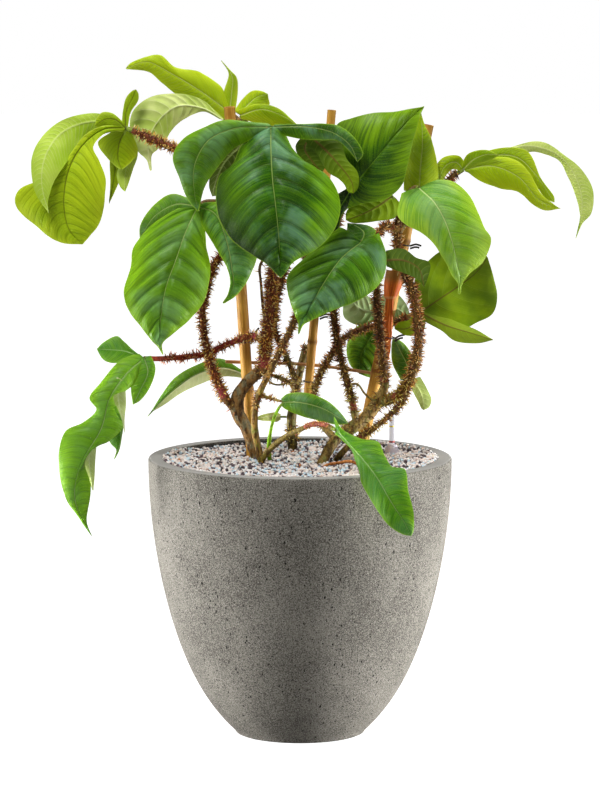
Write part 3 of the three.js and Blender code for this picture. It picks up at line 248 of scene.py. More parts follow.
def colour(code: str, alpha: float = 1.0) -> tuple[float, float, float, float]:
    """Turn a screen colour such as "4f8f2a" into a linear one.

    Args:
        code: six hexadecimal digits.
        alpha: its opacity.

    Returns:
        Red, green, blue and opacity.
    """
    parts = [int(code[i : i + 2], 16) / 255 for i in (0, 2, 4)]
    linear = [c / 12.92 if c <= 0.04045 else ((c + 0.055) / 1.055) ** 2.4 for c in parts]
    return (*linear, alpha)


SHADE_SEED = 11
FULL_TURN = 6.28
Sockets = Sequence[tuple[str, str, object]]
Stops = Sequence[tuple[float, str]]


class Weaver:
    """Short ways to add and link shader or geometry nodes in one tree."""

    def __init__(self, tree: Tree) -> None:
        """Keep the tree to work in."""
        self.tree = tree

    def node(self, kind: str, **settings: object) -> Node:
        """Add a node and set its properties.

        Args:
            kind: Blender's name for the node.
            settings: its properties by name.

        Returns:
            The node.
        """
        made = self.tree.nodes.new(kind)
        for name, value in settings.items():
            setattr(made, name, value)
        return made

    def fed(self, kind: str, inputs: dict[str | int, object], **settings: object) -> Node:
        """Add a node, set its properties and feed its inputs by name or number.

        Args:
            kind: Blender's name for the node.
            inputs: values or sockets for its inputs.
            settings: its properties by name.

        Returns:
            The node.
        """
        made = self.node(kind, **settings)
        for socket, value in inputs.items():
            self.feed(made.inputs[socket], value)
        return made

    def feed(self, socket: Socket, value: object) -> None:
        """Give a socket a value, or link it where the value is another socket.

        Args:
            socket: the input to feed.
            value: a plain value or an output socket.
        """
        if isinstance(value, Socket):
            self.tree.links.new(value, socket)
        elif value is not None:
            socket.default_value = value

    def math(self, kind: str, a: object, b: object = None) -> Socket:
        """A Math node's result.

        Args:
            kind: its operation.
            a: its first value.
            b: its second value, if it has one.

        Returns:
            The result.
        """
        made = self.node("ShaderNodeMath", operation=kind)
        for socket, value in zip(made.inputs, (a, b)):
            self.feed(socket, value)
        return made.outputs[0]

    def plus(self, a: object, b: object) -> Socket:
        """The sum of two values."""
        return self.math("ADD", a, b)

    def less(self, a: object, b: object) -> Socket:
        """The first value less the second."""
        return self.math("SUBTRACT", a, b)

    def times(self, a: object, b: object) -> Socket:
        """The product of two values."""
        return self.math("MULTIPLY", a, b)

    def split(self, vector: object) -> list[Socket]:
        """The three parts of a vector.

        Args:
            vector: the vector to part.

        Returns:
            Its x, y and z.
        """
        made = self.node("ShaderNodeSeparateXYZ")
        self.feed(made.inputs[0], vector)
        return list(made.outputs)

    def join(self, x: object, y: object, z: object = 0.0) -> Socket:
        """A vector of three parts.

        Args:
            x: its first part.
            y: its second part.
            z: its third part.

        Returns:
            The vector.
        """
        made = self.node("ShaderNodeCombineXYZ")
        for socket, value in zip(made.inputs, (x, y, z)):
            self.feed(socket, value)
        return made.outputs[0]

    def scaled(self, vector: object, scale: Point) -> Socket:
        """A vector stretched along each axis."""
        return self.fed("ShaderNodeVectorMath", {0: vector, 1: scale}, operation="MULTIPLY").outputs[0]

    def step(self, value: object, low: object, high: object) -> Socket:
        """A smooth step from 0 at low to 1 at high; low may be above high."""
        span = {"Value": value, "From Min": low, "From Max": high}
        return self.fed("ShaderNodeMapRange", span, interpolation_type="SMOOTHSTEP").outputs[0]

    def noise(self, vector: object, scale: float, detail: float = 3, rough: float = 0.55) -> Socket:
        """Smooth noise from 0 to 1."""
        look = {"Vector": vector, "Scale": scale, "Detail": detail, "Roughness": rough}
        return self.fed("ShaderNodeTexNoise", look).outputs["Fac"]

    def cells(self, vector: object, scale: float, feature: str = "F1", output: str = "Distance") -> Socket:
        """Cells round scattered points."""
        look = {"Vector": vector, "Scale": scale}
        return self.fed("ShaderNodeTexVoronoi", look, feature=feature).outputs[output]

    def mix(self, share: object, a: object, b: object) -> Socket:
        """A colour between a and b, each of which may be a screen colour's code."""
        a, b = (colour(c) if isinstance(c, str) else c for c in (a, b))
        return self.fed("ShaderNodeMix", {"Factor": share, 6: a, 7: b}, data_type="RGBA").outputs[2]

    def lay(self, ground: object, code: object, mask: object, share: float) -> Socket:
        """The ground with a share of a colour laid over it where the mask is 1."""
        return self.mix(self.times(mask, share), ground, code)

    def bands(self, share: object, stops: Stops, hard: bool = False) -> Socket:
        """A colour read from a ramp of screen colours.

        Args:
            share: the place on the ramp, from 0 to 1.
            stops: places with their colour codes.
            hard: whether the colours change in steps.

        Returns:
            The colour.
        """
        made = self.node("ShaderNodeValToRGB")
        made.color_ramp.interpolation = "CONSTANT" if hard else "LINEAR"
        for i, (place_on, code) in enumerate(stops):
            stop = made.color_ramp.elements[i] if i < 2 else made.color_ramp.elements.new(place_on)
            stop.position = place_on
            stop.color = colour(code)
        self.feed(made.inputs[0], share)
        return made.outputs[0]

    def mark(self, name: str, output: str = "Fac") -> Socket:
        """A value that the piece's points carry."""
        return self.node("ShaderNodeAttribute", attribute_name=name).outputs[output]

    def place(self) -> Socket:
        """The piece's own coordinates, in metres."""
        return self.node("ShaderNodeTexCoord").outputs["Object"]


@dataclass(frozen=True)
class Plain:
    """A finish whose shader has fixed values; finishes with a pattern build on it."""

    name: str
    base: str = "808080"
    roughness: float = 0.5
    specular: float = 0.5
    coat: float = 0.0
    coat_roughness: float = 0.2
    sheen: float = 0.0
    metallic: float = 0.0

    def start(self) -> tuple[Material, Weaver, Node]:
        """A new material with its Principled shader set to the fixed values.

        Returns:
            The material, a weaver for its tree and the shader node.
        """
        material = bpy.data.materials.new(f"{self.name}_finish")
        material.use_nodes = True
        material.diffuse_color = colour(self.base)
        shader = material.node_tree.nodes["Principled BSDF"]
        values = {
            "Base Color": colour(self.base),
            "Roughness": self.roughness,
            "Specular IOR Level": self.specular,
            "Coat Weight": self.coat,
            "Coat Roughness": self.coat_roughness,
            "Sheen Weight": self.sheen,
            "Metallic": self.metallic,
        }
        for socket, value in values.items():
            shader.inputs[socket].default_value = value
        return material, Weaver(material.node_tree), shader

    def relief(self, w: Weaver, shader: Node, height: object, depth: float, strength: float = 1) -> None:
        """Bump the surface.

        Args:
            w: the material's weaver.
            shader: the shader that takes the normal.
            height: the pattern, from 0 to 1.
            depth: what 1 stands for, in metres.
            strength: the bump's strength.
        """
        bump = w.fed("ShaderNodeBump", {"Strength": strength, "Distance": depth, "Height": height})
        w.feed(shader.inputs["Normal"], bump.outputs[0])

    def paint(self, w: Weaver, shader: Node) -> None:
        """Lay the pattern; each finish has its own."""
        raise NotImplementedError(self.name)

    def material(self) -> Material:
        """Build the material, or hand back the one already built.

        Returns:
            The finish as a material.
        """
        made = bpy.data.materials.get(f"{self.name}_finish")
        if made:
            return made
        material, w, shader = self.start()
        self.paint(w, shader)
        return material


def start_group(name: str, kind: str, inputs: Sockets, outputs: Sockets) -> tuple[Tree, Weaver, Node, Node]:
    """Start a node group.

    Args:
        name: the group's name.
        kind: "Shader" or "Geometry".
        inputs: name, kind and default value of each input.
        outputs: the same of each output, with no default value.

    Returns:
        The group, its weaver, and its input and output nodes.
    """
    tree = bpy.data.node_groups.new(name, f"{kind}NodeTree")
    for way, rows in (("INPUT", inputs), ("OUTPUT", outputs)):
        for label, socket_kind, default in rows:
            socket = tree.interface.new_socket(label, in_out=way, socket_type=f"NodeSocket{socket_kind}")
            if default is not None:
                socket.default_value = default
    w = Weaver(tree)
    return tree, w, w.node("NodeGroupInput"), w.node("NodeGroupOutput")


def crowd(w: Weaver, inputs: dict[str, object]) -> Socket:
    """Set a shape on many points, give each its own shade and make the whole real.

    Args:
        w: the tree's weaver.
        inputs: the points, the shape, and its turn and scale at each point.

    Returns:
        The real mesh.
    """
    many = w.fed("GeometryNodeInstanceOnPoints", inputs)
    shade = w.fed("FunctionNodeRandomValue", {"Seed": SHADE_SEED}, data_type="FLOAT")
    kept = {"Name": "shade", "Geometry": many.outputs[0], "Value": shade.outputs[1]}
    keep = w.fed("GeometryNodeStoreNamedAttribute", kept, data_type="FLOAT", domain="INSTANCE")
    return w.fed("GeometryNodeRealizeInstances", {0: keep.outputs[0]}).outputs[0]


def dress(w: Weaver, mesh: Socket, given: Node, result: Node) -> None:
    """Give the mesh its finish and put it out.

    Args:
        w: the tree's weaver.
        mesh: the real mesh.
        given: the tree's input node.
        result: the tree's output node.
    """
    inputs = {"Geometry": mesh, "Material": given.outputs["Finish"]}
    w.feed(result.inputs[0], w.fed("GeometryNodeSetMaterial", inputs).outputs[0])




VEIN_MASKS = ("Midrib", "Side", "Fine", "Net", "Margin", "Height", "Beside", "Groove", "Streak")


def vein_group() -> Tree:
    """The veins of a blade, drawn from the values that the blade's points carry.

    Returns:
        A group that puts out masks for the midrib, the side veins, the fine veins between them, the
        net, the margin and the valleys, a height, the share across and long streaks.
    """
    name = "Blade veins"
    if name in bpy.data.node_groups:
        return bpy.data.node_groups[name]
    widths = [("Midrib", "Float", 1.6), ("Side", "Float", 0.6), ("Cell", "Float", 3.5)]
    masks = [(label, "Float", None) for label in VEIN_MASKS]
    tree, w, given, result = start_group(name, "Shader", widths, masks)
    across, along, phase = w.split(w.mark("blade", "Vector"))
    reach, pitch, seed = w.split(w.mark("span", "Vector"))
    beside = w.math("ABSOLUTE", across)
    away = w.times(beside, reach)
    thick = w.times(given.outputs["Midrib"], w.less(1.0, w.times(along, 0.72)))
    midrib = w.step(away, thick, w.times(thick, 0.35))
    part = w.math("FRACT", phase)
    to_vein = w.times(w.math("MINIMUM", part, w.less(1.0, part)), pitch)
    thin = w.times(given.outputs["Side"], w.less(1.0, w.times(beside, 0.6)))
    fade = w.step(beside, 0.99, 0.8)
    side = w.times(w.step(to_vein, thin, w.times(thin, 0.2)), fade)
    fifth = w.math("FRACT", w.times(phase, 5.0))
    fine = w.times(w.step(w.math("ABSOLUTE", w.less(fifth, 0.5)), 0.2, 0.0), fade)
    flat = w.join(w.times(phase, pitch), w.times(across, reach), seed)
    cell = w.math("DIVIDE", 1.0, given.outputs["Cell"])
    stretched = w.fed("ShaderNodeVectorMath", {0: flat, "Scale": cell}, operation="SCALE")
    net = w.step(w.cells(stretched.outputs[0], 1.0, "DISTANCE_TO_EDGE"), 0.12, 0.0)
    rim = w.times(w.less(1.0, beside), reach)
    margin = w.step(rim, 1.5, 0.5)
    puff = w.less(1.0, w.times(w.math("MAXIMUM", side, midrib), 0.9))
    height = w.less(puff, w.times(w.plus(net, fine), 0.16))
    groove = w.times(w.step(to_vein, w.times(pitch, 0.22), 0.0), w.step(beside, 0.98, 0.45))
    strand = w.join(w.times(phase, 9.0), w.times(across, 1.1), seed)
    streak = w.noise(strand, 1.0, 3, 0.6)
    for label, value in zip(VEIN_MASKS, (midrib, side, fine, net, margin, height, beside, groove, streak)):
        w.feed(result.inputs[label], value)
    return tree


@dataclass(frozen=True)
class LeafFace(Plain):
    """What both faces of a leaf share: each lobe's tone lays painted light and painted shade on it, partly
    also its own paler or darker green.
    """

    deep: str = "24600f"
    shadow: float = 0.5

    def lit_or_shaded(self, w: Weaver, green: object, lighter: str) -> Socket:
        """The green, moved by the tone of its lobe towards a lighter colour as painted light or towards
        shadow as painted shade.

        Args:
            w: the material's weaver.
            green: the colour so far.
            lighter: the code of the colour that lobes with painted light go to.

        Returns:
            The green with its painted light and shade.
        """
        # Painted light for a positive tone; painted shade, towards the deep green darkened by shadow, for a
        # negative one.
        tone = w.mark("tone")
        dark = tuple(c * self.shadow for c in colour(self.deep)[:3])
        green = w.mix(w.step(tone, 0.0, 1.0), green, lighter)
        return w.mix(w.step(tone, 0.0, -1.0), green, (*dark, 1.0))


@dataclass(frozen=True)
class LeafTop(LeafFace):
    """The waxy upper face of a leaf, with its sunken veins and pale margin, and painted light, sheen and
    shade.
    """

    roughness: float = 0.38
    specular: float = 0.12
    coat: float = 0.12
    coat_roughness: float = 0.3
    deep: str = "24600f"
    light: str = "4c9426"
    lit: str = "6f9c10"
    vein: str = "a9c46a"
    edge: str = "9fbf2e"
    painted_sheen: str = "6fae9c"
    vein_share: float = 0.7
    lit_share: float = 0.6
    painted_sheen_share: float = 0.0
    crease_shade_share: float = 0.4
    speckle_share: float = 0.4
    shade_share: float = 0.55
    sun_from: float = 9.0
    sun_to: float = 9.5

    def paint(self, w: Weaver, shader: Node) -> None:
        """Blend the greens with painted light, sheen and shade, then the veins and the margin.

        Args:
            w: the material's weaver.
            shader: its surface shader.
        """
        veins = w.node("ShaderNodeGroup", node_tree=vein_group())
        spot = w.place()
        patch = w.step(w.noise(spot, 14, 2), 0.35, 0.68)
        cloud = w.noise(spot, 70, 3)
        blend = w.plus(w.times(patch, 0.65), w.times(cloud, 0.35))
        green = w.mix(blend, self.deep, self.light)
        # Painted light: the lit colour towards the margins and, above sun_from, on the high parts of the
        # blade.
        outer = w.step(w.plus(veins.outputs["Beside"], w.times(patch, 0.6)), 0.62, 1.45)
        sun = w.step(w.split(spot)[2], self.sun_from, self.sun_to)
        sun = w.times(sun, w.plus(w.times(cloud, 0.6), 0.6))
        outer = w.math("MAXIMUM", outer, sun)
        green = w.lay(green, self.lit, outer, self.lit_share)
        # Lighter streaks along the fine veins, stronger where the painted light falls.
        streak = w.times(w.step(veins.outputs["Streak"], 0.42, 0.62), w.plus(outer, 0.35))
        green = w.lay(green, self.lit, streak, 0.6)
        shade = w.step(veins.outputs["Streak"], 0.5, 0.34)
        green = w.lay(green, self.deep, shade, self.shade_share)
        # Painted sheen: patches of a pale blue-green reflection, away from the margins.
        sheen_patch = w.times(w.step(w.noise(spot, 26, 3), 0.42, 0.66), w.less(1.0, outer))
        green = w.lay(green, self.painted_sheen, sheen_patch, self.painted_sheen_share)
        green = self.lit_or_shaded(w, green, self.lit)
        # Painted shade in the valleys beside the side veins, weaker on flat lobes.
        fold = w.times(veins.outputs["Groove"], w.mark("fold"))
        green = w.lay(green, self.deep, fold, self.crease_shade_share)
        speckle = w.step(w.noise(spot, 1100, 2, 0.7), 0.5, 0.72)
        green = w.lay(green, self.lit, speckle, self.speckle_share)
        green = w.lay(green, self.vein, veins.outputs["Side"], 0.3 * self.vein_share)
        green = w.lay(green, self.vein, veins.outputs["Midrib"], self.vein_share)
        green = w.lay(green, self.edge, veins.outputs["Margin"], 0.6)
        w.feed(shader.inputs["Base Color"], green)
        rough = w.plus(w.times(cloud, 0.2), self.roughness - 0.1)
        w.feed(shader.inputs["Roughness"], rough)
        ridges = w.plus(veins.outputs["Height"], w.times(veins.outputs["Streak"], 0.9))
        self.relief(w, shader, ridges, 0.0011, 0.9)


@dataclass(frozen=True)
class LeafUnder(LeafFace):
    """The matte lower face of a leaf, with raised veins."""

    roughness: float = 0.62
    specular: float = 0.22
    deep: str = "5c7a10"
    light: str = "8ea53a"
    vein: str = "b9c46a"
    midrib: str = ""
    midrib_share: float = 0.5
    vein_share: float = 0.4
    net_share: float = 0.12
    midrib_width: float = 2.2
    side_width: float = 0.9

    def paint(self, w: Weaver, shader: Node) -> None:
        """Blend the greens, lay the lobe's painted light and shade, and lay the veins.

        Args:
            w: the material's weaver.
            shader: its surface shader.
        """
        veins = w.fed("ShaderNodeGroup", {}, node_tree=vein_group())
        w.feed(veins.inputs["Midrib"], self.midrib_width)
        w.feed(veins.inputs["Side"], self.side_width)
        spot = w.place()
        blend = w.step(w.noise(spot, 22, 3), 0.3, 0.7)
        green = w.mix(blend, self.deep, self.light)
        green = w.lay(green, self.deep, veins.outputs["Net"], self.net_share)
        # The lobe's painted light and shade.
        green = self.lit_or_shaded(w, green, self.vein)
        green = w.lay(green, self.vein, veins.outputs["Side"], self.vein_share)
        midrib = w.times(veins.outputs["Midrib"], self.midrib_share)
        w.feed(shader.inputs["Base Color"], w.mix(midrib, green, colour(self.midrib or self.vein)))
        self.relief(w, shader, w.less(1.0, veins.outputs["Height"]), 0.0005, 0.6)


@dataclass(frozen=True)
class Stalk(Plain):
    """A petiole or stem: two mottled tones along it, a rough skin, and greener where it is bare."""

    roughness: float = 0.6
    specular: float = 0.22
    dark: str = "3c220f"
    pale: str = "7d6a2c"
    bare: str = "8aa03c"
    scar: str = "2a170b"
    lichen: str = "9aa06a"
    lichen_share: float = 0.0
    blush: str = "a04438"
    blush_share: float = 0.0
    red: str = "a43c1c"
    red_dark: str = "6c1e0c"

    def paint(self, w: Weaver, shader: Node) -> None:
        """Mottle the skin.

        Args:
            w: the material's weaver.
            shader: its surface shader.
        """
        spot = w.place()
        stripe = w.noise(w.scaled(spot, (260, 260, 60)), 1.0, 4)
        skin = w.mix(w.step(stripe, 0.3, 0.7), self.dark, self.pale)
        flakes = w.step(w.cells(spot, 260), 0.5, 0.2)
        skin = w.lay(skin, self.scar, flakes, 0.6)
        bristly = w.mark("bristly")
        blush = w.times(w.step(bristly, 0.5, 0.65), w.step(bristly, 1.0, 0.85))
        blush = w.times(blush, self.blush_share)
        bare = w.mix(w.step(stripe, 0.32, 0.62), self.scar, self.bare)
        bare = w.lay(bare, self.scar, flakes, 0.5)
        growth = w.step(w.noise(w.scaled(spot, (90, 90, 45)), 1.0, 4, 0.7), 0.5, 0.62)
        bare = w.lay(bare, self.lichen, growth, self.lichen_share)
        skin = w.mix(w.step(bristly, 0.75, 0.35), skin, bare)
        skin = w.mix(blush, skin, self.blush)
        red = w.mix(w.step(stripe, 0.3, 0.7), self.red_dark, self.red)
        w.feed(shader.inputs["Base Color"], w.mix(w.mark("red"), skin, red))
        self.relief(w, shader, w.plus(stripe, w.times(flakes, -0.6)), 0.0009)


@dataclass(frozen=True)
class Bristle(Plain):
    """Fleshy bristles, each of its own tone and dark at its root."""

    roughness: float = 0.5
    specular: float = 0.25
    core: str = "361808"
    tones: tuple[tuple[float, str], ...] = (
        (0.0, "6e2a0a"),
        (0.3, "a8541c"),
        (0.5, "da9c36"),
        (0.75, "ecc25c"),
        (1.0, "f4e0a0"),
    )
    low_tones: tuple[tuple[float, str], ...] = ()
    red: str = "b85a34"
    low_from: float = 0.43
    low_to: float = 0.53

    def paint(self, w: Weaver, shader: Node) -> None:
        """Give each bristle its tone, which can be another one low on the stem.

        Args:
            w: the material's weaver.
            shader: its surface shader.
        """
        tone = w.bands(w.mark("shade"), self.tones)
        if self.low_tones:
            high = w.step(w.split(w.place())[2], self.low_from, self.low_to)
            tone = w.mix(high, w.bands(w.mark("shade"), self.low_tones), tone)
        tone = w.mix(w.times(w.mark("red"), 0.7), tone, self.red)
        w.feed(shader.inputs["Base Color"], w.mix(w.step(w.mark("tip"), 0.0, 0.55), self.core, tone))


@dataclass(frozen=True)
class Bamboo(Plain):
    """Dry bamboo, streaked along its length and darker at the joints."""

    roughness: float = 0.52
    specular: float = 0.22
    dark: str = "a66c10"
    pale: str = "e6b044"
    joint: str = "6b3c10"

    def paint(self, w: Weaver, shader: Node) -> None:
        """Streak the cane and darken its joints.

        Args:
            w: the material's weaver.
            shader: its surface shader.
        """
        round_it, along, joint = w.split(w.mark("cane", "Vector"))
        streak = w.noise(w.join(w.times(round_it, 22.0), w.times(along, 0.012)), 1.0, 5, 0.65)
        blotch = w.noise(w.place(), 30, 2)
        blend = w.plus(w.times(streak, 0.65), w.times(blotch, 0.4))
        wood = w.mix(w.step(blend, 0.32, 0.72), self.dark, self.pale)
        wood = w.lay(wood, self.joint, joint, 0.75)
        w.feed(shader.inputs["Base Color"], wood)
        self.relief(w, shader, streak, 0.0004)


@dataclass(frozen=True)
class Concrete(Plain):
    """Cast concrete with fine grit, dark pits and pale specks, smoother on the rim."""

    roughness: float = 0.85
    specular: float = 0.2
    dark: str = "38352f"
    pale: str = "8c887f"
    pit: str = "100e0b"
    speck: str = "c2beb4"
    rim: str = "adaba6"
    rim_from: float = 0.3668
    rim_blend: float = 0.0012
    sway: float = 0.006

    def paint(self, w: Weaver, shader: Node) -> None:
        """Lay cloudy greys, grit, pits and specks.

        Args:
            w: the material's weaver.
            shader: its surface shader.
        """
        spot = w.place()
        cloud = w.noise(spot, 9, 5, 0.65)
        grit = w.noise(spot, 640, 4, 0.85)
        blend = w.plus(w.times(cloud, 0.18), w.times(grit, 0.82))
        stone = w.mix(w.step(blend, 0.41, 0.59), self.dark, self.pale)
        sparse = w.step(w.noise(spot, 45, 2), 0.46, 0.62)
        thick = w.plus(w.times(sparse, 0.65), 0.35)
        few = w.step(w.cells(spot, 230, "F1", "Color"), 0.58, 0.66)
        small = w.times(w.step(w.cells(spot, 230), 0.3, 0.18), w.times(few, thick))
        wander = w.fed("ShaderNodeTexNoise", {"Vector": spot, "Scale": 180.0}).outputs["Color"]
        sway = {0: wander, 1: (self.sway, self.sway, self.sway), 2: spot}
        bent = w.fed("ShaderNodeVectorMath", sway, operation="MULTIPLY_ADD")
        long = w.step(w.cells(w.scaled(bent.outputs[0], (1.7, 1.7, 0.7)), 80), 0.17, 0.11)
        scratches = w.times(long, w.step(w.noise(spot, 16, 2), 0.4, 0.52))
        pits = w.math("MAXIMUM", small, scratches)
        specks = w.step(w.cells(w.scaled(spot, (1.1, 1.1, 1.1)), 300), 0.24, 0.1)
        stone = w.lay(stone, self.speck, specks, 0.5)
        stone = w.mix(pits, stone, self.pit)
        up = w.split(spot)[2]
        smooth = w.step(up, self.rim_from, self.rim_from + self.rim_blend)
        even = w.mix(w.times(grit, 0.35), self.rim, self.dark)
        w.feed(shader.inputs["Base Color"], w.mix(smooth, stone, even))
        height = w.less(w.times(grit, 0.35), w.times(pits, 1.0))
        self.relief(w, shader, w.times(height, w.less(1.0, smooth)), 0.0014)


@dataclass(frozen=True)
class Granules(Plain):
    """Mixed mineral granules, each stone of its own colour."""

    base: str = "d8cfc4"
    roughness: float = 0.85
    specular: float = 0.2
    stones: tuple[tuple[float, str], ...] = (
        (0.0, "f6f0ec"),
        (0.22, "eee0d6"),
        (0.36, "cfe6f2"),
        (0.5, "f4f2f0"),
        (0.6, "54404a"),
        (0.7, "f0ded4"),
        (0.82, "b89c8c"),
        (0.85, "3a2a32"),
        (0.95, "f4eae4"),
        (0.993, "cc7a34"),
    )

    def paint(self, w: Weaver, shader: Node) -> None:
        """Give each stone its colour and a dusty, pitted skin.

        Args:
            w: the material's weaver.
            shader: its surface shader.
        """
        dust = w.noise(w.place(), 700, 3, 0.7)
        stone = w.bands(w.mark("shade"), self.stones, hard=True)
        w.feed(shader.inputs["Base Color"], w.lay(stone, self.base, dust, 0.2))
        self.relief(w, shader, dust, 0.0004)


@dataclass(frozen=True)
class Sheath(Plain):
    """A dried leaf sheath: orange-red fibres that pale towards the edge."""

    roughness: float = 0.55
    specular: float = 0.2
    dark: str = "a8400a"
    pale: str = "ec7c1e"
    edge: str = "d8985c"
    top: str = "86571c"
    top_from: float = 594.0
    top_to: float = 608.0
    hem: float = 580.0

    def paint(self, w: Weaver, shader: Node) -> None:
        """Run the fibres along the sheath.

        Args:
            w: the material's weaver.
            shader: its surface shader.
        """
        round_it, along, rim = w.split(w.mark("cane", "Vector"))
        fibre = w.noise(w.join(w.times(round_it, 30.0), w.times(along, 0.02)), 1.0, 4, 0.6)
        skin = w.mix(w.step(fibre, 0.3, 0.7), self.dark, self.pale)
        skin = w.mix(w.step(along, self.top_from, self.top_to), skin, self.top)
        hem = w.step(w.math("ABSOLUTE", w.less(along, self.hem)), 2.4, 0.8)
        skin = w.mix(w.times(w.math("MAXIMUM", rim, hem), 0.6), skin, self.edge)
        w.feed(shader.inputs["Base Color"], skin)
        self.relief(w, shader, fibre, 0.0005)


@dataclass(frozen=True)
class Moulded(Plain):
    """Moulded plastic with a fine even grain."""

    tint: str = "404040"

    def paint(self, w: Weaver, shader: Node) -> None:
        """Lay a fine grain.

        Args:
            w: the material's weaver.
            shader: its surface shader.
        """
        grain = w.noise(w.place(), 900, 2)
        w.feed(shader.inputs["Base Color"], w.mix(w.times(grain, 0.4), self.base, self.tint))
        self.relief(w, shader, grain, 0.0001)


@dataclass(frozen=True)
class Clear(Plain):
    """Milky clear plastic that spreads the light inside it and glows a little, as painted light, so that its
    shaded side stays pale.
    """

    specular: float = 0.08
    opacity: float = 0.96
    milkiness: float = 0.9
    lit: str = "ffffff"
    painted_glow: float = 0.72
    depth: float = 0.006

    def paint(self, w: Weaver, shader: Node) -> None:
        """Let light through, cloud it a little and make it glow, as painted light.

        Args:
            w: the material's weaver.
            shader: its surface shader.
        """
        haze = w.noise(w.place(), 150, 2)
        # Painted light: the tube glows with the lit colour.
        shader.inputs["Emission Color"].default_value = colour(self.lit)
        shader.inputs["Emission Strength"].default_value = self.painted_glow
        shader.inputs["Subsurface Weight"].default_value = self.milkiness
        shader.inputs["Subsurface Radius"].default_value = (1.0, 1.0, 1.0)
        shader.inputs["Subsurface Scale"].default_value = self.depth
        w.feed(shader.inputs["Roughness"], w.plus(w.times(haze, 0.15), 0.4))
        w.feed(shader.inputs["Alpha"], w.plus(w.times(haze, 0.1), self.opacity - 0.05))


@dataclass(frozen=True)
class Blade:
    """One lobe of a leaf: its midrib, and its margins at places along the midrib."""

    rib: tuple[Point, ...]
    rows: tuple[Point, ...]
    droop: float = 0.25
    bulge: float = 0.06
    under: bool = False


@dataclass(frozen=True)
class Limb:
    """A stem or petiole: its path, radii spread evenly along it, and its bristly stretch."""

    path: tuple[Point, ...]
    radii: tuple[float, ...]
    bristly: tuple[float, float] | None = None
    leaf: str = ""


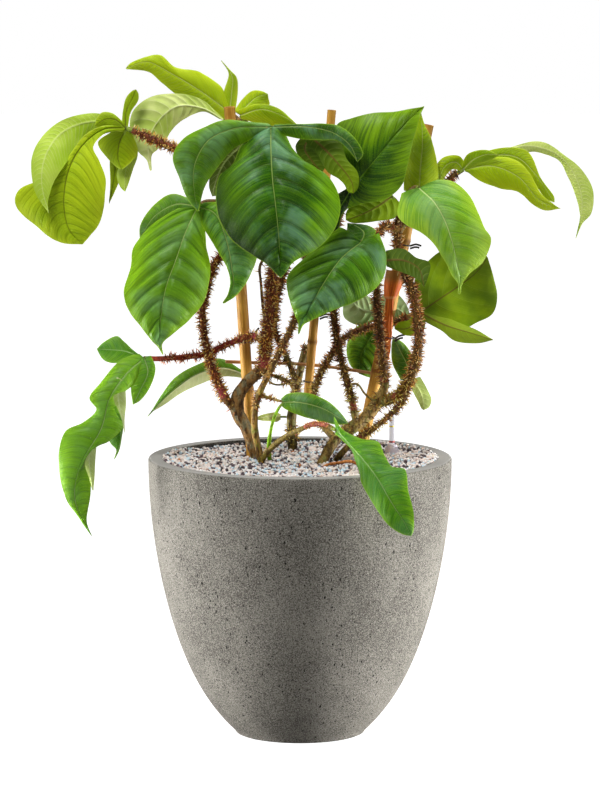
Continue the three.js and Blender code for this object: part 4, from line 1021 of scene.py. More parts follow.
# A row is a share of the midrib and (x, z) of the margin there, first on the right hand and then on
# the left hand of someone who walks from stalk to tip, as seen from in front.
LEAVES: dict[str, tuple[Blade, ...]] = {
    "leaf_centre": (
        Blade(
            rib=((-38, 803, -96), (-38, 770, -112), (-36, 735, -122), (-32, 700, -126), (-28, 660, -124),
                (-25, 605, -112)),
            rows=((0, -56, 797, -18, 791), (0.05, -76, 777, -7, 768), (0.14, -87, 752, 12, 750),
                (0.24, -106, 737, 34, 741), (0.36, -111, 712, 50, 718), (0.48, -106, 684, 52, 693),
                (0.6, -88, 655, 42, 666), (0.74, -66, 637, 22, 643), (0.88, -44, 622, -8, 625),
                (0.95, -34, 613, -17, 615)),
            droop=0.2, bulge=0.1,
        ),
        Blade(
            rib=((-36, 803, -96), (-85, 801, -104), (-120, 785, -100), (-138, 752, -92), (-138, 715, -88),
                (-133, 692, -86)),
            rows=((0, -42, 807, -46, 796), (0.25, -92, 812, -61, 790), (0.45, -125, 803, -84, 776),
                (0.58, -152, 788, -100, 760), (0.7, -165, 765, -115, 742), (0.82, -158, 735, -125, 722),
                (0.93, -147, 708, -130, 704)),
            bulge=0.12,
        ),
        Blade(
            rib=((-42, 803, -98), (-72, 782, -84), (-98, 757, -72), (-110, 732, -67), (-115, 712, -67)),
            rows=((0, -48, 806, -40, 797), (0.35, -84, 788, -62, 766), (0.6, -110, 758, -80, 738),
                (0.85, -119, 726, -96, 716)),
            under=True,
        ),
        Blade(
            rib=((-36, 803, -96), (10, 803, -106), (44, 795, -104), (66, 778, -98), (75, 757, -90)),
            rows=((0, -30, 795, -32, 806), (0.3, 2, 787, 5, 807), (0.5, 30, 786, 30, 807),
                (0.66, 48, 785, 52, 804), (0.8, 60, 776, 70, 790), (0.92, 69, 766, 82, 767)),
            bulge=0.12,
        ),
    ),
    "leaf_left": (
        Blade(
            rib=((-135, 697, -62), (-150, 665, -74), (-163, 628, -82), (-176, 592, -84), (-183, 550, -80),
                (-185, 516, -74), (-180, 503, -70)),
            rows=((0, -166, 692, -128, 686), (0.04, -196, 672, -125, 664), (0.16, -219, 645, -122, 645),
                (0.3, -222, 618, -118, 622), (0.45, -230, 585, -121, 596), (0.6, -224, 560, -128, 570),
                (0.73, -207, 537, -146, 548), (0.86, -192, 520, -170, 530), (0.93, -186, 514, -182, 518)),
            droop=0.15, bulge=0.08,
        ),
        Blade(
            rib=((-134, 698, -61), (-160, 702, -58), (-190, 686, -50), (-210, 656, -44)),
            rows=((0, -140, 708, -145, 694), (0.35, -168, 715, -166, 690), (0.6, -192, 700, -186, 678),
                (0.82, -209, 674, -202, 665)),
        ),
        Blade(
            rib=((-133, 698, -63), (-112, 690, -72), (-98, 660, -76), (-90, 620, -74), (-88, 592, -70),
                (-101, 571, -66)),
            rows=((0, -131, 690, -122, 704), (0.2, -127, 672, -96, 700), (0.4, -112, 647, -72, 668),
                (0.6, -97, 622, -57, 636), (0.75, -92, 600, -66, 606), (0.9, -95, 582, -82, 584)),
            bulge=0.1,
        ),
    ),
    "leaf_middle": (
        Blade(
            rib=((80, 652, -72), (56, 633, -88), (36, 606, -94), (19, 577, -92), (2, 546, -84),
                (-2, 530, -82)),
            rows=((0, 52, 672, 104, 664), (0.03, 26, 652, 114, 636), (0.16, 2, 628, 111, 610),
                (0.32, -14, 607, 98, 592), (0.5, -17, 590, 72, 573), (0.66, -13, 572, 42, 561),
                (0.82, -5, 553, 14, 549), (0.92, -1, 544, 3, 543)),
            droop=0.2, bulge=0.1,
        ),
        Blade(
            rib=((80, 652, -72), (84, 664, -62), (74, 673, -52), (62, 677, -44)),
            rows=((0, 92, 655, 72, 652), (0.35, 99, 666, 70, 658), (0.65, 88, 674, 62, 664)),
            bulge=0.1,
        ),
    ),
    "leaf_upright": (
        Blade(
            rib=((72, 728, -52), (92, 752, -60), (120, 788, -62), (148, 818, -56), (162, 830, -50)),
            rows=((0, 62, 697, 50, 738), (0.02, 88, 704, 42, 772), (0.06, 112, 709, 49, 806),
                (0.14, 133, 728, 68, 814), (0.3, 140, 752, 96, 821), (0.5, 147, 780, 120, 823),
                (0.7, 152, 800, 140, 826), (0.9, 157, 820, 155, 828)),
            droop=0.12, bulge=0.08,
        ),
        Blade(
            rib=((72, 728, -52), (60, 710, -42), (48, 686, -36), (42, 655, -34)),
            rows=((0, 64, 724, 74, 716), (0.3, 46, 712, 66, 700), (0.55, 36, 694, 55, 688),
                (0.8, 33, 674, 50, 668)),
        ),
    ),
    "leaf_right": (
        Blade(
            rib=((156, 723, -64), (176, 704, -80), (190, 679, -88), (199, 652, -90), (206, 624, -84),
                (210, 602, -76), (209, 583, -72)),
            rows=((0, 133, 716, 184, 734), (0.02, 128, 688, 202, 730), (0.1, 137, 676, 222, 713),
                (0.25, 160, 663, 234, 690), (0.4, 178, 648, 242, 668), (0.55, 190, 627, 250, 655),
                (0.7, 199, 608, 241, 626), (0.82, 207, 598, 222, 610), (0.9, 208, 594, 212, 596)),
            droop=0.2, bulge=0.08,
        ),
    ),
    "leaf_behind_right": (
        Blade(
            rib=((158, 560, 2), (183, 577, 6), (208, 594, 8), (232, 613, 8), (246, 632, 6)),
            rows=((0, 163, 552, 150, 575), (0.02, 185, 545, 150, 603), (0.12, 206, 534, 163, 622),
                (0.3, 232, 546, 186, 641), (0.5, 253, 558, 208, 646), (0.7, 259, 580, 226, 645),
                (0.85, 254, 606, 238, 642)),
            droop=-0.1, bulge=0.06, under=True,
        ),
        Blade(
            rib=((158, 559, 1), (190, 543, -4), (222, 533, -8), (254, 523, -12)),
            rows=((0, 160, 550, 166, 560), (0.3, 186, 535, 194, 552), (0.5, 203, 522, 215, 543),
                (0.75, 237, 519, 236, 534)),
            under=True,
        ),
        Blade(
            rib=((158, 559, 2), (152, 546, 8), (140, 538, 12), (124, 538, 14)),
            rows=((0, 152, 560, 166, 552), (0.4, 142, 549, 160, 531), (0.75, 130, 546, 140, 529)),
            under=True,
        ),
    ),
    "leaf_olive": (
        Blade(
            rib=((112, 628, -50), (135, 628, -56), (155, 618, -60), (163, 592, -58)),
            rows=((0, 114, 620, 113, 641), (0.3, 132, 613, 136, 643), (0.55, 146, 607, 152, 632),
                (0.8, 158, 600, 170, 624)),
            under=True,
        ),
    ),
    "leaf_yellow": (
        Blade(
            rib=((156, 716, -16), (157, 745, -18), (160, 780, -14), (158, 822, -8)),
            rows=((0, 176, 720, 136, 720), (0.2, 181, 735, 136, 742), (0.45, 178, 760, 141, 768),
                (0.7, 172, 787, 148, 795), (0.88, 162, 806, 154, 812)),
            bulge=0.1,
        ),
    ),
    "leaf_under": (
        Blade(
            rib=((120, 712, -26), (100, 698, -32), (80, 688, -34), (60, 681, -32)),
            rows=((0, 112, 722, 134, 700), (0.2, 96, 716, 124, 684), (0.45, 80, 710, 100, 680),
                (0.7, 66, 700, 80, 677), (0.88, 60, 690, 68, 677)),
            under=True,
        ),
    ),
    "leaf_drooping": (
        Blade(
            rib=((14, 790, -82), (34, 772, -86), (54, 750, -88), (68, 730, -86), (70, 716, -84)),
            rows=((0, 6, 786, 30, 792), (0.25, 22, 768, 50, 788), (0.5, 36, 744, 62, 760),
                (0.7, 50, 736, 74, 745), (0.82, 58, 728, 77, 733), (0.92, 63, 718, 75, 721)),
            bulge=0.12, under=True,
        ),
        Blade(
            rib=((13, 790, -81), (6, 775, -78), (16, 758, -76), (29, 743, -74)),
            rows=((0, 4, 792, 20, 788), (0.3, -6, 778, 20, 776), (0.6, 2, 758, 32, 766),
                (0.85, 18, 746, 33, 752)),
            under=True,
        ),
    ),
    "leaf_crown_left": (
        Blade(
            rib=((-228, 802, 2), (-258, 799, -10), (-284, 779, -20), (-302, 748, -26), (-309, 702, -26),
                (-302, 668, -22), (-285, 649, -18)),
            rows=((0, -233, 806, -232, 798), (0.2, -262, 803, -257, 793), (0.3, -284, 789, -271, 776),
                (0.4, -299, 770, -262, 759), (0.5, -322, 740, -254, 736), (0.6, -369, 717, -256, 714),
                (0.72, -371, 697, -257, 694), (0.84, -342, 670, -262, 678), (0.93, -315, 653, -273, 664)),
            droop=0.1, bulge=0.08,
        ),
        Blade(
            rib=((-229, 803, 3), (-270, 810, 4), (-309, 797, -16), (-332, 767, -42), (-338, 732, -54),
                (-329, 690, -56)),
            rows=((0, -240, 812, -236, 799), (0.2, -268, 821, -266, 798), (0.38, -307, 813, -287, 780),
                (0.52, -334, 794, -300, 764), (0.66, -350, 764, -313, 746), (0.79, -351, 738, -324, 726),
                (0.91, -343, 711, -330, 706)),
            under=True,
        ),
        Blade(
            rib=((-227, 801, 4), (-236, 782, 16), (-238, 762, 20), (-233, 747, 18)),
            rows=((0, -246, 797, -221, 797), (0.3, -264, 782, -213, 779), (0.6, -252, 762, -212, 768),
                (0.85, -240, 751, -222, 756)),
        ),
        Blade(
            rib=((-226, 801, 4), (-219, 775, 26), (-228, 745, 34), (-229, 718, 32)),
            rows=((0, -230, 797, -219, 796), (0.4, -231, 765, -212, 768), (0.65, -240, 740, -218, 748),
                (0.85, -235, 725, -225, 728)),
            under=True,
        ),
        Blade(
            rib=((-228, 800, 5), (-240, 768, 34), (-243, 738, 42), (-250, 702, 40)),
            rows=((0, -234, 797, -226, 797), (0.4, -248, 765, -232, 764), (0.7, -248, 730, -236, 734)),
        ),
        Blade(
            rib=((-228, 801, 3), (-227, 822, 8), (-219, 840, 12), (-214, 852, 12)),
            rows=((0, -225, 801, -233, 803), (0.35, -221, 822, -231, 824), (0.65, -211, 838, -227, 841),
                (0.88, -211, 847, -219, 850)),
        ),
        Blade(
            rib=((-229, 803, 1), (-240, 812, -4), (-254, 813, -4), (-268, 804, -6)),
            rows=((0, -232, 810, -232, 800), (0.35, -245, 821, -243, 803), (0.65, -258, 822, -255, 803),
                (0.88, -265, 815, -264, 802)),
        ),
    ),
    "leaf_crown_pale": (
        Blade(
            rib=((-100, 812, 44), (-126, 827, 40), (-160, 830, 36), (-184, 812, 34), (-198, 785, 32),
                (-195, 745, 30)),
            rows=((0, -103, 818, -106, 813), (0.15, -128, 838, -128, 824), (0.35, -166, 847, -152, 812),
                (0.5, -195, 842, -168, 798), (0.62, -218, 823, -176, 786), (0.74, -222, 798, -186, 773),
                (0.86, -211, 770, -193, 767), (0.94, -200, 760, -195, 759)),
            under=True,
        ),
    ),
    "leaf_crown_lime": (
        Blade(
            rib=((-92, 822, 62), (-130, 850, 52), (-168, 873, 46), (-200, 888, 42), (-227, 879, 36)),
            rows=((0, -96, 838, -98, 812), (0.12, -104, 856, -110, 818), (0.3, -130, 874, -134, 832),
                (0.5, -162, 881, -164, 847), (0.66, -182, 896, -181, 862), (0.8, -203, 894, -196, 874),
                (0.93, -221, 886, -218, 878)),
            bulge=0.1,
        ),
        Blade(
            rib=((-92, 822, 62), (-89, 848, 64), (-88, 868, 66), (-103, 890, 70)),
            rows=((0, -84, 826, -100, 830), (0.3, -81, 852, -99, 850), (0.55, -83, 868, -95, 862),
                (0.75, -90, 876, -93, 873)),
        ),
    ),
    "leaf_crown_right": (
        Blade(
            rib=((-78, 818, 30), (-50, 826, 18), (-24, 818, 14), (-3, 805, 10)),
            rows=((0, -77, 814, -84, 824), (0.3, -50, 806, -55, 833), (0.6, -26, 804, -28, 827),
                (0.85, -11, 804, -12, 814)),
        ),
        Blade(
            rib=((-79, 819, 31), (-68, 832, 38), (-56, 842, 44), (-42, 846, 46)),
            rows=((0, -75, 821, -86, 824), (0.35, -54, 826, -76, 838), (0.7, -40, 832, -62, 850),
                (0.9, -41, 840, -50, 850)),
        ),
    ),
    "leaf_far_right": (
        Blade(
            rib=((214, 747, 8), (250, 752, -4), (285, 738, -10), (314, 707, -8), (341, 696, -4)),
            rows=((0, 218, 744, 220, 752), (0.12, 232, 735, 240, 761), (0.35, 262, 722, 280, 761),
                (0.55, 284, 719, 300, 742), (0.75, 304, 702, 318, 713), (0.92, 322, 694, 334, 700)),
            bulge=0.1,
        ),
        Blade(
            rib=((214, 748, 9), (250, 765, 14), (284, 763, 16), (311, 737, 14), (333, 704, 12)),
            rows=((0, 217, 744, 212, 753), (0.3, 258, 760, 250, 773), (0.55, 288, 752, 296, 772),
                (0.75, 305, 732, 315, 736), (0.92, 322, 709, 332, 712)),
        ),
        Blade(
            rib=((214, 748, 10), (262, 770, 32), (300, 778, 50), (336, 767, 56), (358, 742, 54),
                (369, 705, 48), (361, 656, 40)),
            rows=((0, 217, 744, 212, 751), (0.3, 280, 766, 278, 777), (0.45, 310, 770, 314, 784),
                (0.6, 338, 759, 346, 766), (0.7, 350, 739, 367, 748), (0.8, 359, 717, 383, 722),
                (0.89, 367, 690, 381, 690), (0.96, 366, 672, 370, 676)),
            under=True,
        ),
        Blade(
            rib=((214, 748, 7), (228, 761, -6), (244, 767, -14), (260, 766, -16)),
            rows=((0, 218, 746, 210, 750), (0.4, 236, 756, 220, 768), (0.75, 252, 761, 244, 773)),
        ),
        Blade(
            rib=((213, 748, 8), (203, 757, 2), (190, 752, -4), (181, 733, -6)),
            rows=((0, 217, 752, 212, 744), (0.35, 208, 765, 200, 748), (0.65, 187, 763, 190, 738),
                (0.85, 177, 748, 186, 731)),
        ),
    ),
    "leaf_low_left": (
        Blade(
            rib=((-205, 499, -42), (-230, 476, -56), (-250, 446, -66), (-262, 405, -72), (-290, 355, -78),
                (-297, 310, -76), (-275, 262, -72)),
            rows=((0, -216, 503, -206, 490), (0.08, -238, 494, -212, 472), (0.2, -264, 465, -228, 456),
                (0.28, -276, 446, -246, 450), (0.36, -268, 431, -241, 430), (0.44, -286, 414, -233, 408),
                (0.52, -308, 402, -250, 391), (0.6, -317, 375, -270, 382), (0.7, -318, 348, -283, 360),
                (0.8, -309, 315, -277, 330), (0.9, -297, 293, -280, 295), (0.96, -286, 276, -281, 278)),
            bulge=0.1,
        ),
        Blade(
            rib=((-205, 499, -43), (-200, 480, -50), (-210, 457, -54), (-220, 437, -54)),
            rows=((0, -212, 505, -196, 502), (0.3, -218, 478, -190, 486), (0.6, -222, 460, -196, 464),
                (0.85, -221, 445, -210, 443)),
        ),
        Blade(
            rib=((-205, 499, -41), (-230, 508, -36), (-250, 510, -32), (-267, 511, -28)),
            rows=((0, -214, 504, -216, 494), (0.35, -232, 521, -236, 493), (0.55, -240, 528, -250, 493),
                (0.8, -258, 520, -260, 498)),
        ),
        Blade(
            rib=((-255, 424, -70), (-238, 408, -64), (-236, 392, -60), (-245, 364, -58)),
            rows=((0, -256, 424, -242, 436), (0.35, -256, 402, -233, 410), (0.6, -250, 386, -235, 392),
                (0.8, -242, 377, -238, 378)),
        ),
        Blade(
            rib=((-240, 474, -60), (-239, 446, -50), (-236, 425, -46), (-231, 400, -44)),
            rows=((0, -246, 468, -230, 466), (0.4, -248, 440, -229, 440), (0.75, -236, 418, -231, 418)),
            under=True,
        ),
        Blade(
            rib=((-276, 394, -75), (-278, 366, -62), (-276, 342, -58), (-273, 322, -58)),
            rows=((0, -278, 384, -268, 384), (0.4, -284, 360, -270, 360), (0.75, -279, 338, -271, 340)),
            under=True,
        ),
    ),
    "leaf_arching": (
        Blade(
            rib=((-70, 476, 70), (-100, 486, 66), (-135, 478, 58), (-168, 456, 50), (-201, 421, 44)),
            rows=((0, -72, 480, -72, 475), (0.2, -104, 498, -99, 484), (0.45, -138, 489, -133, 475),
                (0.65, -165, 472, -158, 461), (0.82, -183, 449, -178, 445), (0.93, -193, 432, -191, 432)),
            droop=0.5,
        ),
        Blade(
            rib=((-70, 476, 70), (-100, 485, 66), (-134, 477, 58), (-166, 456, 51), (-196, 427, 46)),
            rows=((0, -72, 477, -72, 472), (0.2, -101, 486, -98, 475), (0.45, -134, 477, -128, 466),
                (0.65, -160, 461, -152, 455), (0.85, -182, 441, -178, 438)),
            droop=0.5, under=True,
        ),
    ),
    "leaf_small": (
        Blade(
            rib=((-22, 440, -78), (0, 440, -84), (30, 432, -86), (64, 412, -82)),
            rows=((0, -26, 438, -25, 445), (0.06, -22, 433, -18, 451), (0.16, -12, 428, -6, 453),
                (0.38, 6, 421, 16, 451), (0.6, 28, 415, 38, 441), (0.85, 49, 411, 55, 424)),
            droop=0.4,
        ),
    ),
    "leaf_front": (
        Blade(
            rib=((48, 403, -162), (66, 383, -186), (96, 348, -208), (120, 308, -222), (138, 280, -224),
                (147, 262, -222)),
            rows=((0, 47, 398, 45, 421), (0.05, 54, 393, 56, 404), (0.16, 72, 372, 80, 392),
                (0.26, 77, 350, 103, 388), (0.36, 81, 337, 112, 368), (0.46, 88, 322, 121, 354),
                (0.56, 96, 305, 138, 352), (0.7, 108, 288, 143, 322), (0.84, 122, 273, 150, 290),
                (0.94, 136, 264, 150, 268)),
            droop=0.1, bulge=0.08,
        ),
    ),
    "leaf_back_low": (
        Blade(
            rib=((100, 536, 84), (90, 522, 88), (80, 502, 92), (78, 478, 94)),
            rows=((0, 88, 547, 106, 528), (0.3, 70, 537, 112, 505), (0.6, 62, 516, 106, 487),
                (0.85, 66, 491, 95, 474)),
        ),
    ),
    "leaf_back_right": (
        Blade(
            rib=((146, 470, 52), (140, 492, 58), (132, 508, 62), (122, 527, 64)),
            rows=((0, 152, 478, 132, 470), (0.4, 148, 500, 122, 492), (0.75, 137, 518, 120, 512)),
        ),
        Blade(
            rib=((146, 470, 51), (155, 460, 46), (161, 446, 42), (163, 430, 42)),
            rows=((0, 146, 462, 158, 474), (0.35, 150, 452, 167, 458), (0.7, 156, 440, 173, 444),
                (0.9, 160, 432, 170, 434)),
            under=True,
        ),
    ),
    "leaf_back_pale": (
        Blade(
            rib=((100, 560, 82), (84, 562, 78), (70, 572, 76), (58, 584, 78)),
            rows=((0, 98, 572, 98, 548), (0.35, 84, 584, 80, 542), (0.7, 68, 590, 58, 552)),
            under=True,
        ),
        Blade(
            rib=((100, 560, 83), (120, 566, 90), (134, 560, 92), (147, 545, 92)),
            rows=((0, 102, 548, 100, 574), (0.35, 122, 545, 120, 588), (0.7, 136, 545, 138, 572)),
            under=True,
        ),
    ),
    "leaf_sliver": (
        Blade(
            rib=((-27, 421, 98), (-38, 422, 94), (-45, 421, 88), (-60, 418, 84)),
            rows=((0, -25, 424, -25, 418), (0.12, -31, 427, -30, 414.5), (0.4, -40, 426, -38, 415),
                (0.8, -52, 423, -50, 416)),
            under=True,
        ),
    ),
}

STEMS: dict[str, tuple[Limb, ...]] = {
    "stem_left": (
        Limb(
            path=((-57, 338, 18), (-58, 363, 18), (-64, 385, 17), (-71, 406, 16), (-82, 427, 14),
                (-82, 447, 10), (-69, 467, 5), (-50, 484, 0)),
            radii=(6.5, 6.5, 7, 9.5, 9, 7.5, 7.5),
        ),
        Limb(
            path=((-48, 480, 0), (-45, 520, -6), (-40, 560, -12), (-36, 610, -20), (-32, 660, -30),
                (-30, 720, -46), (-32, 770, -66), (-38, 803, -96)),
            radii=(8, 7, 6.5, 6, 5, 4.5, 4, 3.2), bristly=(0.01, 0.8), leaf="leaf_centre",
        ),
        Limb(
            path=((-79, 428, 13), (-92, 438, 8), (-103, 455, 2), (-113, 480, -6), (-120, 503, -10),
                (-126, 530, -10), (-128, 560, -8), (-122, 592, -8), (-112, 622, -6), (-98, 642, -2),
                (-84, 680, 4), (-88, 725, 6), (-118, 755, 4), (-165, 775, 2), (-200, 790, 1),
                (-228, 802, 2)),
            radii=(6, 5, 4.5, 4.5, 4.5, 4.5, 5, 3.5), bristly=(0.05, 0.97), leaf="leaf_crown_left",
        ),
        Limb(
            path=((-46, 520, -4), (-62, 528, 6), (-78, 524, 12), (-100, 515, 12), (-122, 505, 9),
                (-145, 501, -3), (-170, 499, -20), (-192, 498, -34), (-205, 499, -42)),
            radii=(5, 4, 4, 3.6, 3.2), bristly=(0.06, 0.9), leaf="leaf_low_left",
        ),
        Limb(
            path=((-34, 650, -28), (-60, 680, -34), (-95, 702, -38), (-122, 705, -46), (-135, 697, -62)),
            radii=(4.5, 4, 3.5, 3.2), bristly=(0.1, 0.7), leaf="leaf_left",
        ),
        Limb(
            path=((-38, 640, -24), (-52, 622, -20), (-51, 595, -16), (-48, 560, -12), (-43, 532, -8)),
            radii=(1.8, 1.8, 1.6),
        ),
    ),
    "stem_smooth": (
        Limb(
            path=((-46, 338, -6), (-54, 375, -6), (-60, 410, -10), (-56, 445, -14), (-42, 476, -20),
                (-24, 512, -16), (-4, 558, -4), (8, 620, 8), (-4, 690, 14), (-26, 745, 24), (-60, 795, 36),
                (-92, 822, 62)),
            radii=(5, 4.5, 4.5, 4.2, 4.2, 4.5, 4.5, 4, 3.5, 3, 3), bristly=(0.28, 0.72),
            leaf="leaf_crown_lime",
        ),
        Limb(
            path=((-58, 792, 35), (-80, 804, 41), (-100, 812, 44)),
            radii=(3.2, 3, 2.6), leaf="leaf_crown_pale",
        ),
        Limb(
            path=((-56, 790, 34), (-66, 804, 36), (-78, 818, 32)),
            radii=(3.2, 3, 2.6), leaf="leaf_crown_right",
        ),
        Limb(
            path=((-54, 450, -13), (-40, 446, -20), (-26, 442, -30), (-10, 440, -36)),
            radii=(2.4, 2, 1.4),
        ),
        Limb(
            path=((-44, 472, -18), (-36, 465, -8), (-24, 464, 10), (-8, 473, 36)),
            radii=(1.4, 1.2, 1),
        ),
    ),
    "stem_middle": (
        Limb(
            path=((-8, 346, 112), (-10, 385, 106), (-11, 420, 96), (-6, 454, 84), (2, 490, 74),
                (9, 515, 70)),
            radii=(6.5, 6.5, 6, 5.5, 5.5, 5),
        ),
        Limb(
            path=((-3, 468, 80), (-6, 470, 66), (-9, 477, 50), (-14, 492, 40), (-24, 513, 40),
                (-33, 536, 40), (-30, 580, 42), (-12, 640, 48), (6, 700, 44), (13, 745, 10), (13, 775, -44),
                (14, 790, -82)),
            radii=(4, 3.8, 4, 4, 4, 3.6, 3), bristly=(0.14, 0.85), leaf="leaf_drooping",
        ),
        Limb(
            path=((-9, 420, 98), (-18, 421, 99), (-27, 421, 98)),
            radii=(2.2, 1.8, 1.6), leaf="leaf_sliver",
        ),
        Limb(
            path=((-6, 462, 84), (-30, 474, 88), (-52, 478, 82), (-70, 476, 70)),
            radii=(3, 2.6, 2.2), leaf="leaf_arching",
        ),
    ),
    "stem_right": (
        Limb(
            path=((18, 340, -36), (28, 358, -30), (40, 381, -20), (54, 398, -10), (72, 409, 0),
                (90, 424, 8), (104, 444, 12), (112, 462, 12)),
            radii=(6.5, 6.5, 7, 7.8, 8.5, 8.5, 8, 6),
        ),
        Limb(
            path=((106, 440, 10), (124, 446, 0), (141, 466, -8), (151, 492, -14), (156, 525, -18),
                (153, 560, -24), (146, 592, -26), (136, 615, -22), (128, 645, -14), (129, 680, -10),
                (138, 706, -16), (148, 722, -38), (156, 723, -64)),
            radii=(6.5, 6, 5.5, 5.5, 5, 4.5, 3.2), bristly=(0.04, 0.84), leaf="leaf_right",
        ),
        Limb(
            path=((112, 460, 12), (110, 485, 6), (106, 520, 0), (102, 560, -4), (101, 600, -8),
                (104, 618, -24), (112, 628, -50)),
            radii=(6, 5.5, 5, 4.5, 3.6, 3), bristly=(0.03, 0.8), leaf="leaf_olive",
        ),
        Limb(
            path=((40, 352, -4), (58, 376, -8), (78, 393, -12), (100, 408, -14), (120, 425, -14),
                (136, 443, -10), (141, 464, -8)),
            radii=(4.5, 4, 3.6, 3.6, 4), bristly=(0.35, 0.95),
        ),
        Limb(
            path=((74, 412, -2), (68, 445, -6), (59, 478, -8), (50, 515, -6), (44, 560, -2), (43, 620, 2),
                (48, 670, 2), (60, 706, -8), (70, 724, -32), (72, 728, -52)),
            radii=(4.6, 4.2, 4.2, 4, 3.6, 3.2), bristly=(0.04, 0.8), leaf="leaf_upright",
        ),
        Limb(
            path=((46, 392, -14), (30, 410, 4), (18, 436, 20), (22, 466, 28), (38, 498, 32), (58, 525, 38),
                (84, 538, 47), (112, 543, 51), (132, 548, 38), (148, 557, 14), (158, 560, 2)),
            radii=(4.5, 4, 4, 3.8, 3.6, 3.2), bristly=(0.22, 0.93), leaf="leaf_behind_right",
        ),
        Limb(
            path=((128, 668, -12), (114, 673, -22), (102, 664, -38), (90, 655, -58), (80, 652, -72)),
            radii=(4.4, 4, 3.6, 3.2), bristly=(0.1, 0.7), leaf="leaf_middle",
        ),
        Limb(
            path=((130, 688, -11), (128, 702, -16), (120, 712, -26)),
            radii=(3.2, 2.8, 2.6), leaf="leaf_under",
        ),
        Limb(
            path=((130, 684, -10), (142, 700, -10), (151, 710, -14), (156, 716, -16)),
            radii=(3.2, 3, 2.8), leaf="leaf_yellow",
        ),
        Limb(
            path=((129, 664, -12), (144, 686, 2), (162, 707, 8), (184, 725, 10), (202, 740, 9),
                (214, 747, 8)),
            radii=(4.4, 4, 4, 3.6, 3), bristly=(0.12, 0.95), leaf="leaf_far_right",
        ),
        Limb(
            path=((110, 542, 51), (107, 551, 66), (100, 560, 82)),
            radii=(3, 2.6, 2.4), leaf="leaf_back_pale",
        ),
        Limb(
            path=((106, 542, 50), (106, 536, 66), (100, 536, 84)),
            radii=(3, 2.6, 2.4), leaf="leaf_back_low",
        ),
        Limb(
            path=((141, 464, -8), (147, 464, 14), (149, 467, 34), (146, 470, 52)),
            radii=(3.2, 2.8, 2.4), leaf="leaf_back_right",
        ),
        Limb(
            path=((64, 464, -7), (76, 464, -13), (85, 452, -12), (97, 443, -4), (104, 446, 6)),
            radii=(1.5, 1.4, 1.4),
        ),
    ),
    "shoot_young": (
        Limb(
            path=((-36, 338, -13), (-39.5, 360, -15), (-41, 380, -25), (-39, 400, -42), (-34, 420, -60),
                (-27, 434, -72), (-22, 440, -78)),
            radii=(2.8, 3.2, 2.8, 2.2, 2, 1.8), leaf="leaf_small",
        ),
    ),
    "petiole_front": (
        Limb(
            path=((-58, 338, -22), (-51, 362, -25), (-39, 378, -36), (-20, 394, -60), (2, 405, -88),
                (17, 411, -112), (34, 410, -140), (48, 403, -162)),
            radii=(4.2, 3.8, 3.6, 3.2, 2.8), bristly=(0.62, 0.94), leaf="leaf_front",
        ),
    ),
    "root_orange": (
        Limb(
            path=((24, 350, -60), (36, 357, -58), (52, 360, -56), (68, 361.5, -54), (84, 352, -52)),
            radii=(1.8, 2, 2, 1.8),
        ),
    ),
}


